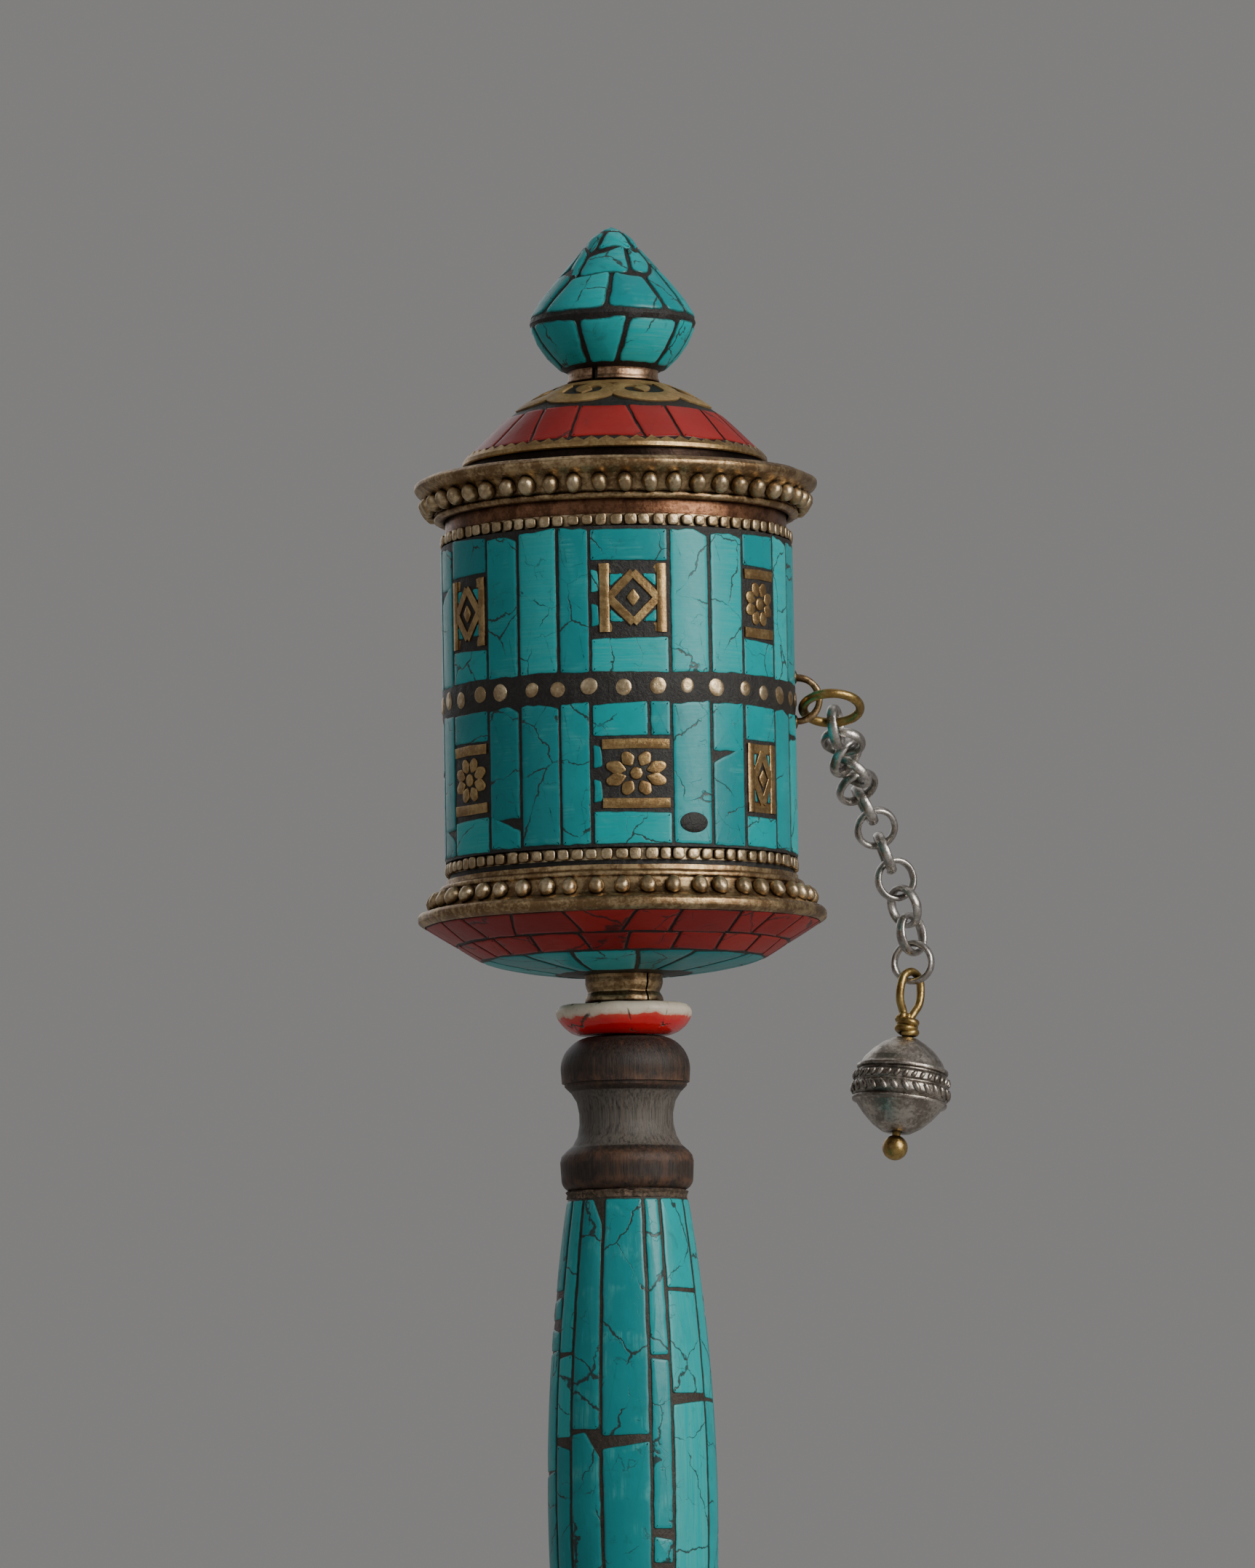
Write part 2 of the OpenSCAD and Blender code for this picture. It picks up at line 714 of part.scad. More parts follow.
// hold(k) is the wire centre that link k hangs on, and centre(k) the middle of link k
function hold(k) = k == 0 ? ring_meet
    : centre(k - 1) + link_mid * in_plane(way(all_ways[k]), normal(all_ways[k - 1]));
function centre(k) = hold(k) + (k == 0 ? link_hole - ring_wire - link_gap : link_grip) * way(all_ways[k]);

// Lays its children, drawn round +Z and hanging towards -Y, along a link's direction
module laid(w, at) {
    n = normal(w);
    t = way(w);
    s = cross(n, t);
    multmatrix([
        [s[0], -t[0], n[0], at[0]],
        [s[1], -t[1], n[1], at[1]],
        [s[2], -t[2], n[2], at[2]],
        [0, 0, 0, 1]
    ]) children();
}

module chain_link(k) {
    // Half-round wire: flat inside, rounded outside
    w = link_w / 2;
    color(SILVER) laid(link_way[k], centre(k)) rotate_extrude() polygon([
        [link_hole, -w * 0.8], [link_hole + 0.2, -w], [link_hole + 0.5, -w * 0.92], [link_r - 0.2, -w * 0.6],
        [link_r, -w * 0.2], [link_r, w * 0.2], [link_r - 0.2, w * 0.6], [link_hole + 0.5, w * 0.92],
        [link_hole + 0.2, w], [link_hole, w * 0.8]
    ]);
}

pin_loop_r = 2.1;                  // centreline of the headpin's loop
pin_wire = 0.65;
pin_stretch = 2.2;                 // the loop is this much longer than round
pin_shank_r = 0.6;
pin_c = hold(link_count) + (pin_loop_r - pin_wire - link_t / 2 - loose_gap) * way(pin_way);
bead_top = pin_stretch + pin_loop_r + 3.4;     // below pin_c, along the pin
bead_c = bead_top + bead_r - 0.4;
ball_r = 1.85;

module headpin() {
    // An oblong loop, wraps of wire under it, a shank through the bead, and a ball under the bead
    color(BRASS) laid(pin_way, pin_c) {
        rotate_extrude(angle = 180) translate([pin_loop_r, 0]) circle(r = pin_wire);
        for (s = [-1, 1])
            translate([s * pin_loop_r, 0, 0]) rotate([90, 0, 0]) cylinder(h = pin_stretch, r = pin_wire);
        translate([0, -pin_stretch, 0]) rotate([0, 0, 180]) rotate_extrude(angle = 180)
            translate([pin_loop_r, 0]) circle(r = pin_wire);
        for (i = [0:2])
            translate([0, -(pin_stretch + pin_loop_r + 0.7 + i * 1.05), 0]) rotate([90, 0, 0])
                rotate_extrude() translate([0.75, 0]) circle(r = 0.6);
        translate([0, -(pin_stretch + pin_loop_r), 0]) rotate([90, 0, 0])
            cylinder(h = bead_c + bead_r - pin_stretch - pin_loop_r + 1, r = pin_shank_r);
        translate([0, -(bead_c + bead_r + ball_r - 0.1), 0]) sphere(r = ball_r);
    }
}

module counterweight_bead() {
    // A hollow silver bead, lens-shaped, with raised bands round its widest part
    profile = concat(
        [[pin_shank_r + 0.1, -bead_r + 0.6], [1.9, -bead_r + 0.6]],
        [for (a = [-68:8:-20]) [bead_r * 0.98 * cos(a), bead_r * 0.95 * sin(a)]],
        [[bead_r * 0.985, -1.8], [bead_r * 0.985, -1.2], [bead_r * 0.97, -1.1], [bead_r, -0.7]],
        [[bead_r, 0.1], [bead_r * 0.97, 0.3], [bead_r, 0.7]],
        [[bead_r * 0.985, 1.4], [bead_r * 0.96, 1.6], [bead_r * 0.95, 2.1]],
        [for (a = [22:8:70]) [bead_r * 0.97 * cos(a), bead_r * 0.95 * sin(a)]],
        [[1.9, bead_r - 0.5], [pin_shank_r + 0.1, bead_r - 0.5]]
    );
    color(SILVER) laid(pin_way, pin_c) translate([0, -bead_c, 0]) rotate([-90, 0, 0])
        rotate_extrude() polygon(profile);
}

// ---------------------------------------------------------------- nodes

axle_rod();
grip_core();
grip_bed();
grip_tiles();
grip_joint_ring();
neck_post();
pommel();
pommel_washer();
bone_washer();
drum_shell();
drum_bed();
drum_tiles_upper();
drum_tiles_lower();
drum_ornaments();
drum_studs();
bead_strip_top();
bead_strip_bottom();
drum_neck();
drum_floor();
base_ring();
base_pearls();
base_bed();
base_coral_tiles();
base_turquoise_tiles();
lower_bush();
scroll_tube();
mantra_scroll();
scroll_wrap();
scroll_ties();
chain_eyelet();
crown_ring();
crown_pearls();
lid_plate();
lid_dome();
lid_bed();
lid_coral_tiles();
lid_petals();
lid_edge_band();
top_bush();
finial_core();
finial_bed();
finial_tiles();
finial_ferrule();
finial_nut();
jump_ring();
for (k = [1:link_count])
    chain_link(k - 1);
headpin();
counterweight_bead();
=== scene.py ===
"""The looks of a hand-held prayer wheel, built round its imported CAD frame.

Shapes are worked out in millimetres and written to the meshes in metres. Angles round the axle are in degrees
from the front (-Y), positive towards the chain (+X).
"""

import json
import math
import random

import bmesh
import bpy
from mathutils import Matrix, Vector, noise


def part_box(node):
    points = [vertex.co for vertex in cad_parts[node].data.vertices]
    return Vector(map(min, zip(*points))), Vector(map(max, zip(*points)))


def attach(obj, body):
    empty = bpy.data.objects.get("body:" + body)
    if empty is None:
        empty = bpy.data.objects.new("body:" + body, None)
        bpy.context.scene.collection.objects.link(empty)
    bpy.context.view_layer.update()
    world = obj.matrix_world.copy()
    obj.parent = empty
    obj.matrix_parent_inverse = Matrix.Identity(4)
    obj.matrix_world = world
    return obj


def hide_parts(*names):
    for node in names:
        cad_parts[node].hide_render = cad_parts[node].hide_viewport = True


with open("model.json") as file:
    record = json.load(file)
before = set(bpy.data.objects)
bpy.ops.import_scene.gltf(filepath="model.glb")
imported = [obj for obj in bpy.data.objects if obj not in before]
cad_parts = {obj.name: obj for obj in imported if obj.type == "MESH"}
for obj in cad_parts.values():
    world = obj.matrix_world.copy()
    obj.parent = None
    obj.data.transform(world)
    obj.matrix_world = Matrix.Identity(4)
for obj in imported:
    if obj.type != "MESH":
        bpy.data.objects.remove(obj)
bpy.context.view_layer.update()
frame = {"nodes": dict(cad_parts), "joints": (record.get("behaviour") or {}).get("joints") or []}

MM = 0.001
rnd = random.Random(11)


def low(node):
    """Lowest level of a CAD node, in mm."""
    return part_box(node)[0][2] / MM


def high(node):
    """Highest level of a CAD node, in mm."""
    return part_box(node)[1][2] / MM


# ------------------------------------------------------------------ camera

VIEW_HEIGHT = 161.2  # mm above the butt of the handle
VIEW_SIDE = 1.0
VIEW_ELEVATION = -5.5
VIEW_DISTANCE = 1160.0
VIEW_ROLL = -1.0

camera = bpy.data.objects.new("camera", bpy.data.cameras.new("camera"))
bpy.context.scene.collection.objects.link(camera)
bpy.context.scene.camera = camera
camera.data.lens = 188
camera.data.sensor_width = 36
camera.data.clip_end = 20
tilt = math.radians(VIEW_ELEVATION)
target = Vector((VIEW_SIDE, 0, VIEW_HEIGHT)) * MM
camera.location = target + Vector((0, -math.cos(tilt), math.sin(tilt))) * VIEW_DISTANCE * MM
camera.rotation_mode = "QUATERNION"
facing = (target - camera.location).to_track_quat("-Z", "Y")
camera.rotation_quaternion = facing @ Matrix.Rotation(math.radians(VIEW_ROLL), 3, "Z").to_quaternion()


# ------------------------------------------------------------------ shaders


class Shader:
    """A Principled material with short calls for the nodes that feed it. Coordinates are in mm."""

    def __init__(self, name, **surface):
        self.material = bpy.data.materials.new(name)
        self.material.use_nodes = True
        self.tree = self.material.node_tree
        self.surface = self.tree.nodes["Principled BSDF"]
        self.set(**surface)
        self.spot = self.node("TexCoord").outputs["Object"]

    def set(self, **sockets):
        for name, value in sockets.items():
            self.put(self.surface.inputs[name.replace("_", " ")], value)

    def put(self, socket, value):
        if isinstance(value, bpy.types.NodeSocket):
            self.tree.links.new(value, socket)
        elif isinstance(value, (tuple, list)) and socket.type == "RGBA":
            socket.default_value = (*value, 1.0)
        else:
            socket.default_value = value

    def node(self, kind, inputs=(), **settings):
        node = self.tree.nodes.new("ShaderNode" + kind)
        for name, value in settings.items():
            setattr(node, name, value)
        for name, value in dict(inputs).items():
            self.put(node.inputs[name], value)
        return node

    def value(self, name):
        return self.node("Attribute", attribute_name=name).outputs["Fac"]

    def math(self, operation, a, b, clamp=False):
        return self.node("Math", {0: a, 1: b}, operation=operation, use_clamp=clamp).outputs[0]

    def plus(self, a, b):
        return self.math("ADD", a, b)

    def minus(self, a, b, clamp=False):
        return self.math("SUBTRACT", a, b, clamp)

    def times(self, a, b, clamp=False):
        return self.math("MULTIPLY", a, b, clamp)

    def where(self, stretch=(1, 1, 1), per_chip=0.0):
        """Object coordinates in mm, stretched, and shifted by each chip's own tone."""
        scale = [f / MM for f in stretch]
        spot = self.node("VectorMath", {0: self.spot, 1: scale}, operation="MULTIPLY").outputs[0]
        if per_chip:
            shift = self.times(self.value("tone"), per_chip)
            spot = self.node("VectorMath", {0: spot, 1: shift}, operation="ADD").outputs[0]
        return spot

    def noise(self, spot, scale, detail=4.0, rough=0.55, twist=0.0):
        inputs = {"Vector": spot, "Scale": scale, "Detail": detail, "Roughness": rough, "Distortion": twist}
        return self.node("TexNoise", inputs).outputs["Fac"]

    def cells(self, spot, scale, feature="DISTANCE_TO_EDGE"):
        return self.node("TexVoronoi", {"Vector": spot, "Scale": scale}, feature=feature).outputs["Distance"]

    def warped(self, spot, scale, amount):
        """spot pushed about by noise, so that lines drawn there are crooked."""
        push = self.node("TexNoise", {"Vector": spot, "Scale": scale, "Detail": 3.0}).outputs["Color"]
        push = self.node("VectorMath", {0: push, 1: (0.5, 0.5, 0.5)}, operation="SUBTRACT").outputs[0]
        push = self.node("VectorMath", {0: push, "Scale": amount}, operation="SCALE").outputs[0]
        return self.node("VectorMath", {0: spot, 1: push}, operation="ADD").outputs[0]

    def step(self, value, start, end, top=1.0):
        inputs = {"Value": value, "From Min": start, "From Max": end, "To Max": top}
        return self.node("MapRange", inputs, interpolation_type="SMOOTHSTEP").outputs["Result"]

    def mix(self, share, a, b):
        return self.node("Mix", {0: share, 6: a, 7: b}, data_type="RGBA").outputs[2]

    def open_share(self, distance):
        """1 on open ground and 0 deep in a corner."""
        return self.node("AmbientOcclusion", {"Distance": distance * MM}, samples=6).outputs["AO"]

    def bump(self, height, distance):
        inputs = {"Height": height, "Distance": distance * MM, "Strength": 1.0}
        return self.node("Bump", inputs).outputs["Normal"]


def stone(name, dark, light, pale, vein, grime, streak, worn=0.5, veins=0.1):
    """Polished stone chips: streak is the stretch of the sanding marks, along their short way."""
    s = Shader(name, Specular_IOR_Level=0.32, Coat_Weight=0.05, Coat_Roughness=0.25)
    tone = s.value("tone")
    edge = s.value("edge")
    here = s.where(per_chip=90.0)
    cloud = s.noise(here, 0.16, 3.0)
    share = s.plus(s.times(tone, 0.6), s.times(cloud, 0.5))
    colour = s.mix(s.step(share, 0.2, 0.95), dark, light)
    # Sanding streaks, pale where the polish has gone
    marks = s.noise(s.where(streak), 1.0, 5.0, 0.7)
    patch = s.noise(here, 0.22, 3.0, 0.5, 0.6)
    rubbed = s.times(s.step(patch, 0.5, 0.72), s.step(marks, 0.4, 0.66, 0.8))
    some = s.times(s.step(tone, 0.72, 0.98), s.step(marks, 0.3, 0.8, 0.6))
    faded = s.math("MAXIMUM", s.times(rubbed, worn), some)
    colour = s.mix(faded, colour, pale)
    # Dark smudges
    smudge = s.step(s.noise(here, 0.35, 4.0, 0.6, 0.8), 0.58, 0.8, 0.45)
    smudge = s.times(smudge, s.step(marks, 0.3, 0.6))
    colour = s.mix(smudge, colour, grime)
    # Veins that come and go
    crooked = s.warped(s.warped(here, 0.35, 2.4), 1.6, 0.55)
    width = s.step(s.noise(here, 0.14, 2.0), 0.32, 0.58, 0.017)
    line = s.minus(width, s.cells(crooked, veins))
    line = s.step(line, 0.0, 0.012)
    hair = s.minus(s.step(s.noise(here, 0.3, 2.0), 0.45, 0.68, 0.02), s.cells(crooked, veins * 2.6))
    hair = s.step(hair, 0.0, 0.02, 0.5)
    line = s.math("MAXIMUM", line, hair)
    colour = s.mix(s.times(line, 0.85), colour, vein)
    # Grimy, chipped edges
    bite = s.noise(s.where(), 1.1, 4.0, 0.65)
    dirt = s.step(s.times(edge, s.plus(bite, 0.35)), 0.42, 0.85, 0.85)
    colour = s.mix(dirt, colour, grime)
    s.set(Base_Color=colour)
    rough = s.plus(s.times(faded, 0.22), s.times(s.noise(here, 1.5), 0.16))
    s.set(Roughness=s.plus(rough, 0.27))
    height = s.minus(s.times(marks, 0.35), line)
    height = s.plus(height, s.times(s.noise(here, 0.5, 2.0), 1.2))
    s.set(Normal=s.bump(height, 0.035))
    return s.material


def filler(name, dark, light, dust, gloss=0.42):
    """The resin between the chips: grainy, with dust and a few pits."""
    s = Shader(name, Specular_IOR_Level=0.45)
    here = s.where()
    grain = s.noise(here, 2.2, 6.0, 0.7)
    patch = s.noise(here, 0.25, 4.0)
    colour = s.mix(s.step(grain, 0.35, 0.75), dark, light)
    colour = s.mix(s.times(s.step(patch, 0.5, 0.72), s.step(grain, 0.42, 0.62, 0.7)), colour, dust)
    s.set(Base_Color=colour, Roughness=s.plus(s.times(grain, 0.3), gloss - 0.12))
    s.set(Normal=s.bump(s.plus(grain, s.noise(here, 0.7, 3.0)), 0.14))
    return s.material


def metal(name, bright, dull, dark, crust, reach=1, scratch=(0.3, 0.3, 4.0), polish=0.3, dirt=1, film=0):
    """Aged metal: bright where it is rubbed, dark and crusted in the hollows, under a dull film."""
    s = Shader(name, Metallic=1.0)
    here = s.where()
    open_ground = s.open_share(reach)
    patch = s.noise(here, 0.3, 5.0, 0.65, 0.4)
    fine = s.noise(here, 1.8, 6.0, 0.7)
    marks = s.noise(s.where(scratch), 1.0, 4.0, 0.7)
    rub = s.plus(s.times(patch, 0.55), s.times(fine, 0.45))
    colour = s.mix(s.step(rub, 0.43, 0.6), dull, bright)
    hollow = s.plus(s.minus(1.0, open_ground), s.times(rub, -0.35))
    sunk = s.step(hollow, 0.02, 0.5 / dirt)
    colour = s.mix(sunk, colour, dark)
    spots = s.times(s.step(fine, 0.56, 0.7), s.step(hollow, -0.05, 0.3))
    colour = s.mix(s.times(spots, 0.75), colour, crust)
    s.set(Base_Color=colour)
    s.set(Metallic=s.minus(1.0 - film, s.times(spots, 0.8), True))
    rough = s.plus(s.times(sunk, 0.3), s.times(marks, 0.3))
    s.set(Roughness=s.plus(rough, polish - 0.1))
    height = s.plus(s.times(fine, 0.7), s.plus(s.times(marks, 0.4), patch))
    s.set(Normal=s.bump(height, 0.07))
    return s.material


def wood_shader(name, dark, mid, worn, dusty):
    s = Shader(name, Specular_IOR_Level=0.35)
    edge = s.value("edge")
    here = s.where()
    grain = s.noise(s.warped(s.where((3.2, 3.2, 0.16)), 0.4, 0.5), 1.0, 6.0, 0.7)
    streak = s.noise(s.where((0.9, 0.9, 0.07)), 1.0, 3.0)
    colour = s.mix(s.step(grain, 0.35, 0.65), dark, mid)
    colour = s.mix(s.step(streak, 0.5, 0.75, 0.5), colour, worn)
    rub = s.times(s.step(edge, 0.35, 0.9), s.step(s.noise(here, 0.6, 5.0, 0.7), 0.36, 0.62))
    colour = s.mix(s.times(rub, 0.85), colour, worn)
    dust = s.times(s.step(edge, 0.2, 0.04), s.step(grain, 0.25, 0.6))
    colour = s.mix(s.times(dust, 0.75), colour, dusty)
    s.set(Base_Color=colour, Roughness=s.plus(s.times(grain, 0.35), 0.28))
    s.set(Normal=s.bump(s.plus(grain, s.times(s.noise(here, 0.5), 0.6)), 0.11))
    return s.material


def bone_shader(name, red_top):
    """Cream above and glossy red below the level red_top, with a wavy border, cracks and pits."""
    s = Shader(name, Coat_Weight=0.12, Coat_Roughness=0.15)
    here = s.where()
    level = s.node("SeparateXYZ", {0: here}).outputs["Z"]
    wave = s.times(s.minus(s.noise(here, 0.3, 3.0), 0.5), 2.2)
    height = s.plus(level, wave)
    cream = s.mix(s.noise(here, 0.8, 4.0), (0.62, 0.50, 0.36), (0.78, 0.70, 0.58))
    cream = s.mix(s.step(s.noise(here, 0.5, 5.0, 0.7), 0.56, 0.72, 0.7), cream, (0.30, 0.22, 0.14))
    stain = s.minus(s.step(height, red_top - 0.9, red_top), s.step(height, red_top, red_top + 0.5))
    red = s.mix(s.noise(here, 0.4), (0.56, 0.006, 0.010), (0.74, 0.014, 0.018))
    colour = s.mix(s.step(height, red_top - 0.12, red_top + 0.12), red, cream)
    colour = s.mix(s.times(stain, 0.4, True), colour, (0.55, 0.12, 0.06))
    crack = s.step(s.cells(s.warped(s.where((1.0, 1.0, 0.35)), 0.5, 1.6), 0.16), 0.022, 0.004)
    crack = s.times(crack, s.step(s.noise(here, 0.2, 2.0), 0.52, 0.62))
    pit = s.step(s.cells(here, 0.55, "F1"), 0.2, 0.1)
    flaw = s.math("MAXIMUM", crack, s.times(pit, s.step(height, red_top + 0.2, red_top + 0.7, 0.9)))
    s.set(Base_Color=s.mix(flaw, colour, (0.07, 0.05, 0.03)))
    s.set(Roughness=s.plus(s.step(height, red_top - 0.2, red_top + 0.3, 0.3), 0.2))
    bumps = s.minus(s.times(s.noise(here, 0.7, 4.0), 0.6), flaw)
    s.set(Normal=s.bump(bumps, 0.16))
    return s.material


def plain_cloth(name, thread, shade):
    s = Shader(name, Sheen_Weight=0.3)
    weave = s.noise(s.where((5, 5, 5)), 1.0, 2.0)
    s.set(Base_Color=s.mix(weave, shade, thread), Roughness=0.85, Normal=s.bump(weave, 0.1))
    return s.material


TEAL = dict(
    dark=(0.0, 0.245, 0.265), light=(0.0, 0.41, 0.425), pale=(0.10, 0.47, 0.45),
    vein=(0.030, 0.016, 0.010), grime=(0.014, 0.07, 0.06),
)
turned_teal = stone("turquoise_turned", streak=(0.12, 0.12, 3.0), **TEAL)
long_teal = stone("turquoise_long", streak=(2.0, 2.0, 0.07), worn=0.8, veins=0.085, **TEAL)
coral = stone(
    "coral", dark=(0.23, 0.006, 0.005), light=(0.38, 0.011, 0.008), pale=(0.36, 0.06, 0.045),
    vein=(0.05, 0.010, 0.008), grime=(0.085, 0.014, 0.010), streak=(0.12, 0.12, 3.0), worn=0.4, veins=0.05,
)
black_filler = filler("black_filler", (0.010, 0.009, 0.008), (0.028, 0.024, 0.020), (0.055, 0.060, 0.048))
brown_filler = filler("brown_filler", (0.028, 0.022, 0.015), (0.062, 0.046, 0.031), (0.085, 0.062, 0.044))
cement = filler("cement", (0.05, 0.035, 0.022), (0.16, 0.11, 0.07), (0.33, 0.22, 0.15), gloss=0.7)
brass = metal(
    "aged_brass", (0.58, 0.42, 0.23), (0.24, 0.145, 0.07), (0.036, 0.018, 0.009), (0.030, 0.042, 0.036),
    reach=2.2, dirt=1.3,
)
inlay_brass = metal(
    "inlay_brass", (0.56, 0.39, 0.18), (0.33, 0.205, 0.09), (0.06, 0.032, 0.015), (0.05, 0.04, 0.02),
    reach=0.4, scratch=(0.25, 0.25, 5.0), dirt=0.5,
)
dull_brass = metal(
    "dull_brass", (0.40, 0.27, 0.11), (0.27, 0.17, 0.065), (0.05, 0.03, 0.012), (0.04, 0.035, 0.02),
    reach=0.3, scratch=(0.25, 0.25, 5.0), polish=0.45, dirt=0.4, film=0.7,
)
bead_brass = metal(
    "bead_brass", (0.66, 0.53, 0.34), (0.38, 0.27, 0.15), (0.03, 0.02, 0.012), (0.03, 0.05, 0.045),
    reach=0.7,
)
# Near-black copper for the lid plate and the dome's skirt: painted shade standing in for the shadowed gap
# below the dome's edge band
painted_shade_copper = metal(
    "painted_shade_copper", (0.035, 0.022, 0.016), (0.02, 0.013, 0.01), (0.01, 0.007, 0.006), (0.012, 0.012, 0.01),
)
rubbed_copper = metal(
    "rubbed_copper", (0.50, 0.32, 0.20), (0.20, 0.11, 0.06), (0.03, 0.016, 0.010), (0.03, 0.03, 0.02),
    reach=1.2,
)
copper = metal("copper", (0.27, 0.13, 0.07), (0.12, 0.055, 0.03), (0.03, 0.014, 0.008), (0.03, 0.03, 0.02))
gold_wire = metal(
    "gold_wire", (0.52, 0.37, 0.14), (0.34, 0.22, 0.075), (0.06, 0.035, 0.012), (0.05, 0.05, 0.02),
    polish=0.26, dirt=0.7,
)
silver = metal(
    "silver", (0.58, 0.53, 0.47), (0.26, 0.225, 0.19), (0.022, 0.018, 0.014), (0.02, 0.09, 0.075),
    reach=1.2, polish=0.25, scratch=(1.5, 1.5, 1.5), dirt=1.1,
)
link_silver = metal(
    "link_silver", (0.64, 0.61, 0.57), (0.36, 0.33, 0.30), (0.03, 0.025, 0.02), (0.03, 0.07, 0.06),
    reach=0.7, polish=0.25, scratch=(1.5, 1.5, 1.5), dirt=0.6,
)
steel = metal("steel", (0.50, 0.48, 0.46), (0.30, 0.29, 0.27), (0.05, 0.04, 0.03), (0.08, 0.05, 0.03))
dark_wood = wood_shader(
    "dark_wood", (0.016, 0.011, 0.009), (0.046, 0.033, 0.026), (0.12, 0.060, 0.034), (0.155, 0.138, 0.118)
)
paper = filler("paper", (0.42, 0.33, 0.20), (0.60, 0.50, 0.33), (0.35, 0.26, 0.15), gloss=0.9)
saffron = plain_cloth("saffron_cloth", (0.62, 0.20, 0.03), (0.40, 0.11, 0.02))


# ------------------------------------------------------------------ mesh building


class Build:
    """Points in mm, faces, and two values a point: tone, one to a chip, and edge, 1 where it wears."""

    def __init__(self):
        self.points = []
        self.tones = []
        self.edges = []
        self.faces = []

    def ring(self, points, tone=0.5, edge=0.0):
        first = len(self.points)
        self.points.extend(points)
        self.tones.extend([tone] * len(points))
        self.edges.extend([edge] * len(points) if isinstance(edge, (int, float)) else edge)
        return list(range(first, len(self.points)))

    def band(self, a, b):
        """Faces between two closed loops."""
        for i in range(len(a)):
            j = (i + 1) % len(a)
            self.faces.append((a[i], a[j], b[j], b[i]))

    def fan(self, ring, centre, tone=0.5):
        tip = self.ring([centre], tone)[0]
        for i, corner in enumerate(ring):
            self.faces.append((corner, ring[(i + 1) % len(ring)], tip))

    def tubes(self, loops, closed=False):
        """Joins each loop to the next, and the last to the first if closed."""
        for a, b in zip(loops, loops[1:]):
            self.band(a, b)
        if closed:
            self.band(loops[-1], loops[0])

    def piece(self, name, material, body, nodes, place=None, sharp=38):
        """Makes the object, in the row frame, riding on a body."""
        mesh = bpy.data.meshes.new(name)
        place = place or Matrix.Identity(4)
        mesh.from_pydata([(place @ p) * MM for p in self.points], [], self.faces)
        for label, values in (("tone", self.tones), ("edge", self.edges)):
            layer = mesh.attributes.new(label, "FLOAT", "POINT")
            layer.data.foreach_set("value", values)
        work = bmesh.new()
        work.from_mesh(mesh)
        bmesh.ops.recalc_face_normals(work, faces=work.faces)
        work.to_mesh(mesh)
        work.free()
        mesh.shade_smooth()
        mesh.set_sharp_from_angle(angle=math.radians(sharp))
        mesh.materials.append(material)
        thing = bpy.data.objects.new(name, mesh)
        bpy.context.scene.collection.objects.link(thing)
        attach(thing, body)
        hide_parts(*nodes)


def axis_point(r, z, a):
    turn = math.radians(a)
    return Vector((r * math.sin(turn), -r * math.cos(turn), z))


class Turned:
    """A surface of revolution: an outline of (radius, height) points in mm, walked by its length."""

    def __init__(self, outline):
        self.outline = [Vector(p) for p in outline]
        self.marks = [0.0]
        for p, q in zip(self.outline, self.outline[1:]):
            self.marks.append(self.marks[-1] + (q - p).length)
        sides = [(q - p).normalized() for p, q in zip(self.outline, self.outline[1:])]
        sides = [sides[0], *sides, sides[-1]]
        self.outs = []
        for p, q in zip(sides, sides[1:]):
            way = (p + q).normalized()
            self.outs.append(Vector((way.y, -way.x)))
        self.length = self.marks[-1]

    def spot(self, s):
        i = 0
        while i < len(self.marks) - 2 and s > self.marks[i + 1]:
            i += 1
        share = (s - self.marks[i]) / (self.marks[i + 1] - self.marks[i])
        p = self.outline[i].lerp(self.outline[i + 1], share)
        out = self.outs[i].lerp(self.outs[i + 1], min(1.0, max(0.0, share))).normalized()
        return p, out

    def at(self, a, s, lift=0.0):
        p, out = self.spot(s)
        p = p + out * lift
        return axis_point(p.x, p.y, a)

    def per_degree(self, s):
        return self.spot(s)[0].x * math.pi / 180


def barrel(z0, z1, r_end, r_mid, count=24):
    """Points of a barrel between two levels."""
    points = []
    for i in range(count + 1):
        u = 2 * i / count - 1
        points.append((r_mid - (r_mid - r_end) * u * u, z0 + (z1 - z0) * i / count))
    return points


def eased(points, cut=0.25):
    """A closed outline with every corner rounded off, cut back by at most cut mm."""
    soft = []
    for i in range(len(points)):
        before, corner, after = (Vector(points[k % len(points)]) for k in (i - 1, i, i + 1))
        back = (before - corner).normalized() * min(cut, (before - corner).length * 0.45)
        ahead = (after - corner).normalized() * min(cut, (after - corner).length * 0.45)
        soft.extend([corner + back, corner + (back + ahead) * 0.25, corner + ahead])
    return soft


def dense(points, step):
    """The closed outline with points added so that none are further apart than step."""
    full = []
    for p, q in zip(points, points[1:] + points[:1]):
        p, q = Vector(p), Vector(q)
        count = max(1, math.ceil((q - p).length / step))
        full.extend(p.lerp(q, i / count) for i in range(count))
    return full


def lathe(build, outline, sides=180, wobble=0.0, grain=0.25, a0=0.0, a1=360.0, edges=0.0):
    """Turns a closed outline of (radius, height) points round the axle, a little uneven by wobble mm."""
    whole = a1 - a0 >= 360
    count = sides if whole else sides + 1
    loops = []
    for i in range(count):
        a = a0 + (a1 - a0) * i / sides
        loop = []
        for r, z in outline:
            p = axis_point(r, z, a)
            push = noise.noise(p * grain) * wobble if wobble and r > 2.6 else 0.0
            loop.append(axis_point(r + push, z + push * 0.5, a) if push else p)
        loops.append(build.ring(loop, edge=edges))
    build.tubes(loops, closed=whole)
    if not whole:
        build.faces.append(tuple(loops[0]))
        build.faces.append(tuple(reversed(loops[-1])))


def turned_piece(name, material, body, slot, node, outline, sides, **lathing):
    """A piece that is nothing but a closed outline turned round the axle."""
    build = Build()
    lathe(build, outline, sides, **lathing)
    build.piece(name, material, body, [node])


